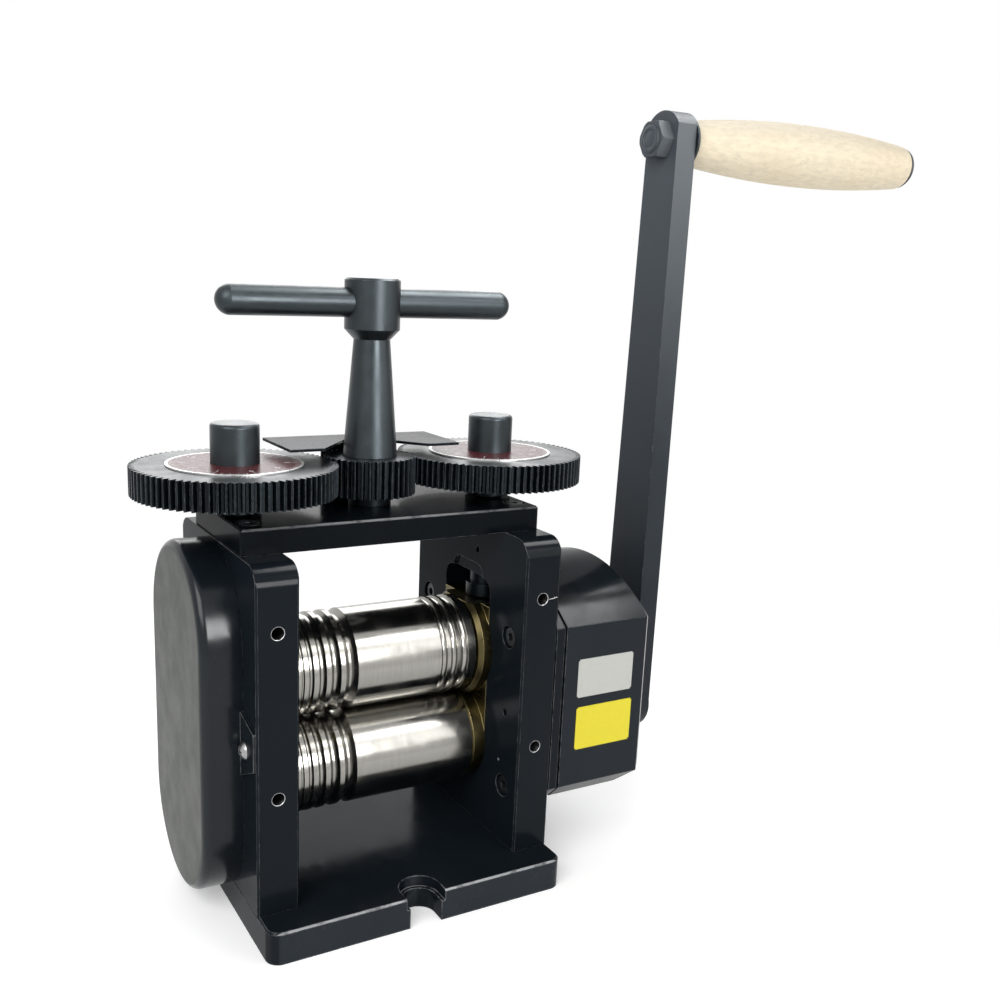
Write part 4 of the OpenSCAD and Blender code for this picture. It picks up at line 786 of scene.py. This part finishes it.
class MILL_OT_build_stage(Operator):
    """Build the floor, the lights and the camera"""
    bl_idname = "mill.build_stage"
    bl_label = "Build Stage"

    def execute(self, context):
        stage = context.scene.mill_stage
        self.add_floor()
        self.add_world(context)
        for name, place, size, power, diffuse in LAMPS:
            self.add_light(context, name, Vector(place), size, power, diffuse)
        self.add_camera(context, stage)
        context.scene.view_settings.view_transform = "Standard"
        return {"FINISHED"}

    def add_floor(self):
        tree = Tree("pale_floor")
        for made in list(tree.nodes):
            if made != tree.output:
                tree.nodes.remove(made)
        tone = tree.mix(tree.noise(tree.place(), 6, 3), (0.80, 0.80, 0.80), (0.82, 0.82, 0.82))
        matt = tree.put("BsdfDiffuse", Color=tone)
        path = tree.put("LightPath")
        seen = tree.math("MAXIMUM", path.outputs["Is Camera Ray"], path.outputs["Is Glossy Ray"])
        seen = tree.math("MAXIMUM", seen, path.outputs["Is Transmission Ray"])
        reach = tree.put("VectorMath", {"operation": "LENGTH"}, Vector=tree.place())
        far = tree.math("MULTIPLY", seen,
                        tree.ramp(reach.outputs["Value"], WHITE_NEAR, WHITE_FAR))
        lift = tree.put("Emission", Color=(1, 1, 1),
                        Strength=tree.math("MULTIPLY", seen, FLOOR_GLOW))
        near = tree.put("AddShader")
        tree.links.new(matt.outputs[0], near.inputs[0])
        tree.links.new(lift.outputs[0], near.inputs[1])
        white = tree.put("Emission", Color=(1, 1, 1), Strength=1.0)
        floor = tree.put("MixShader")
        tree.links.new(far, floor.inputs[0])
        tree.links.new(near.outputs[0], floor.inputs[1])
        tree.links.new(white.outputs[0], floor.inputs[2])
        tree.links.new(floor.outputs[0], tree.output.inputs["Surface"])
        work = bmesh.new()
        bmesh.ops.create_circle(work, cap_ends=True, segments=64, radius=FLOOR_RADIUS)
        mesh = mesh_from("floor", work)
        mesh.materials.append(tree.material)
        made = bpy.data.objects.new("floor", mesh)
        bpy.context.scene.collection.objects.link(made)

    def add_world(self, context):
        world = bpy.data.worlds.new("studio")
        world.use_nodes = True
        context.scene.world = world
        nodes, links = world.node_tree.nodes, world.node_tree.links
        path = nodes.new("ShaderNodeLightPath")
        seen = nodes.new("ShaderNodeMath")
        seen.operation = "MAXIMUM"
        links.new(path.outputs["Is Camera Ray"], seen.inputs[0])
        links.new(path.outputs["Is Transmission Ray"], seen.inputs[1])
        both = nodes.new("ShaderNodeMath")
        both.operation = "MAXIMUM"
        links.new(seen.outputs[0], both.inputs[0])
        links.new(path.outputs["Is Glossy Ray"], both.inputs[1])
        strength = nodes.new("ShaderNodeMapRange")
        strength.inputs["To Min"].default_value = WORLD_LIGHT
        strength.inputs["To Max"].default_value = 1.0
        links.new(both.outputs[0], strength.inputs["Value"])
        background = nodes["Background"]
        background.inputs["Color"].default_value = (1, 1, 1, 1)
        links.new(strength.outputs[0], background.inputs["Strength"])

    def add_light(self, context, name, place, size, power, diffuse):
        lamp = bpy.data.lights.new(name, "AREA")
        lamp.size = size
        lamp.energy = power
        made = bpy.data.objects.new(name, lamp)
        made.location = place
        made.rotation_euler = (Vector(LAMP_AIM) - place).to_track_quat("-Z", "Y").to_euler()
        made.visible_diffuse = diffuse
        context.scene.collection.objects.link(made)

    def add_camera(self, context, stage):
        yaw, pitch, roll = stage.camera_yaw, stage.camera_pitch, stage.camera_roll
        ahead = Vector((math.sin(yaw) * math.cos(pitch), math.cos(yaw) * math.cos(pitch),
                        -math.sin(pitch)))
        level = Vector((math.cos(yaw), -math.sin(yaw), 0))
        upright = level.cross(ahead)
        right = level * math.cos(roll) + upright * math.sin(roll)
        up = upright * math.cos(roll) - level * math.sin(roll)
        lens = bpy.data.cameras.new("camera")
        lens.sensor_width = SENSOR_MM
        lens.lens = stage.focal_px / IMAGE_PX * SENSOR_MM
        lens.shift_x = 0.5 - stage.centre_x / IMAGE_PX
        lens.shift_y = stage.centre_y / IMAGE_PX - 0.5
        lens.clip_start = 0.01
        made = bpy.data.objects.new("camera", lens)
        turn = Matrix((right, up, -ahead)).transposed().to_4x4()
        made.matrix_world = Matrix.Translation(stage.camera_place) @ turn
        context.scene.collection.objects.link(made)
        context.scene.camera = made


STEPS = (MILL_OT_paint_frame, MILL_OT_finish_steel, MILL_OT_finish_bearings, MILL_OT_make_dials,
         MILL_OT_make_grip, MILL_OT_make_labels, MILL_OT_trim_holes, MILL_OT_build_stage)


class MILL_PT_panel(Panel):
    """Lists the steps that dress the rolling mill"""
    bl_idname = "MILL_PT_panel"
    bl_label = "Rolling Mill"
    bl_space_type = "VIEW_3D"
    bl_region_type = "UI"
    bl_category = "Rolling Mill"

    def draw(self, context):
        for step in STEPS:
            self.layout.operator(step.bl_idname)


GROUPS = {"mill_finish": MillFinish, "mill_trim": MillTrim, "mill_stage": MillStage}


def register():
    for group in GROUPS.values():
        bpy.utils.register_class(group)
    for step in (*STEPS, MILL_PT_panel):
        bpy.utils.register_class(step)
    for name, group in GROUPS.items():
        setattr(bpy.types.Scene, name, PointerProperty(type=group))


def unregister():
    for name in GROUPS:
        delattr(bpy.types.Scene, name)
    for step in reversed((*GROUPS.values(), *STEPS, MILL_PT_panel)):
        bpy.utils.unregister_class(step)


def main():
    register()
    for step in STEPS:
        kind, action = step.bl_idname.split(".")
        getattr(getattr(bpy.ops, kind), action)()


if __name__ == "__main__":
    main()
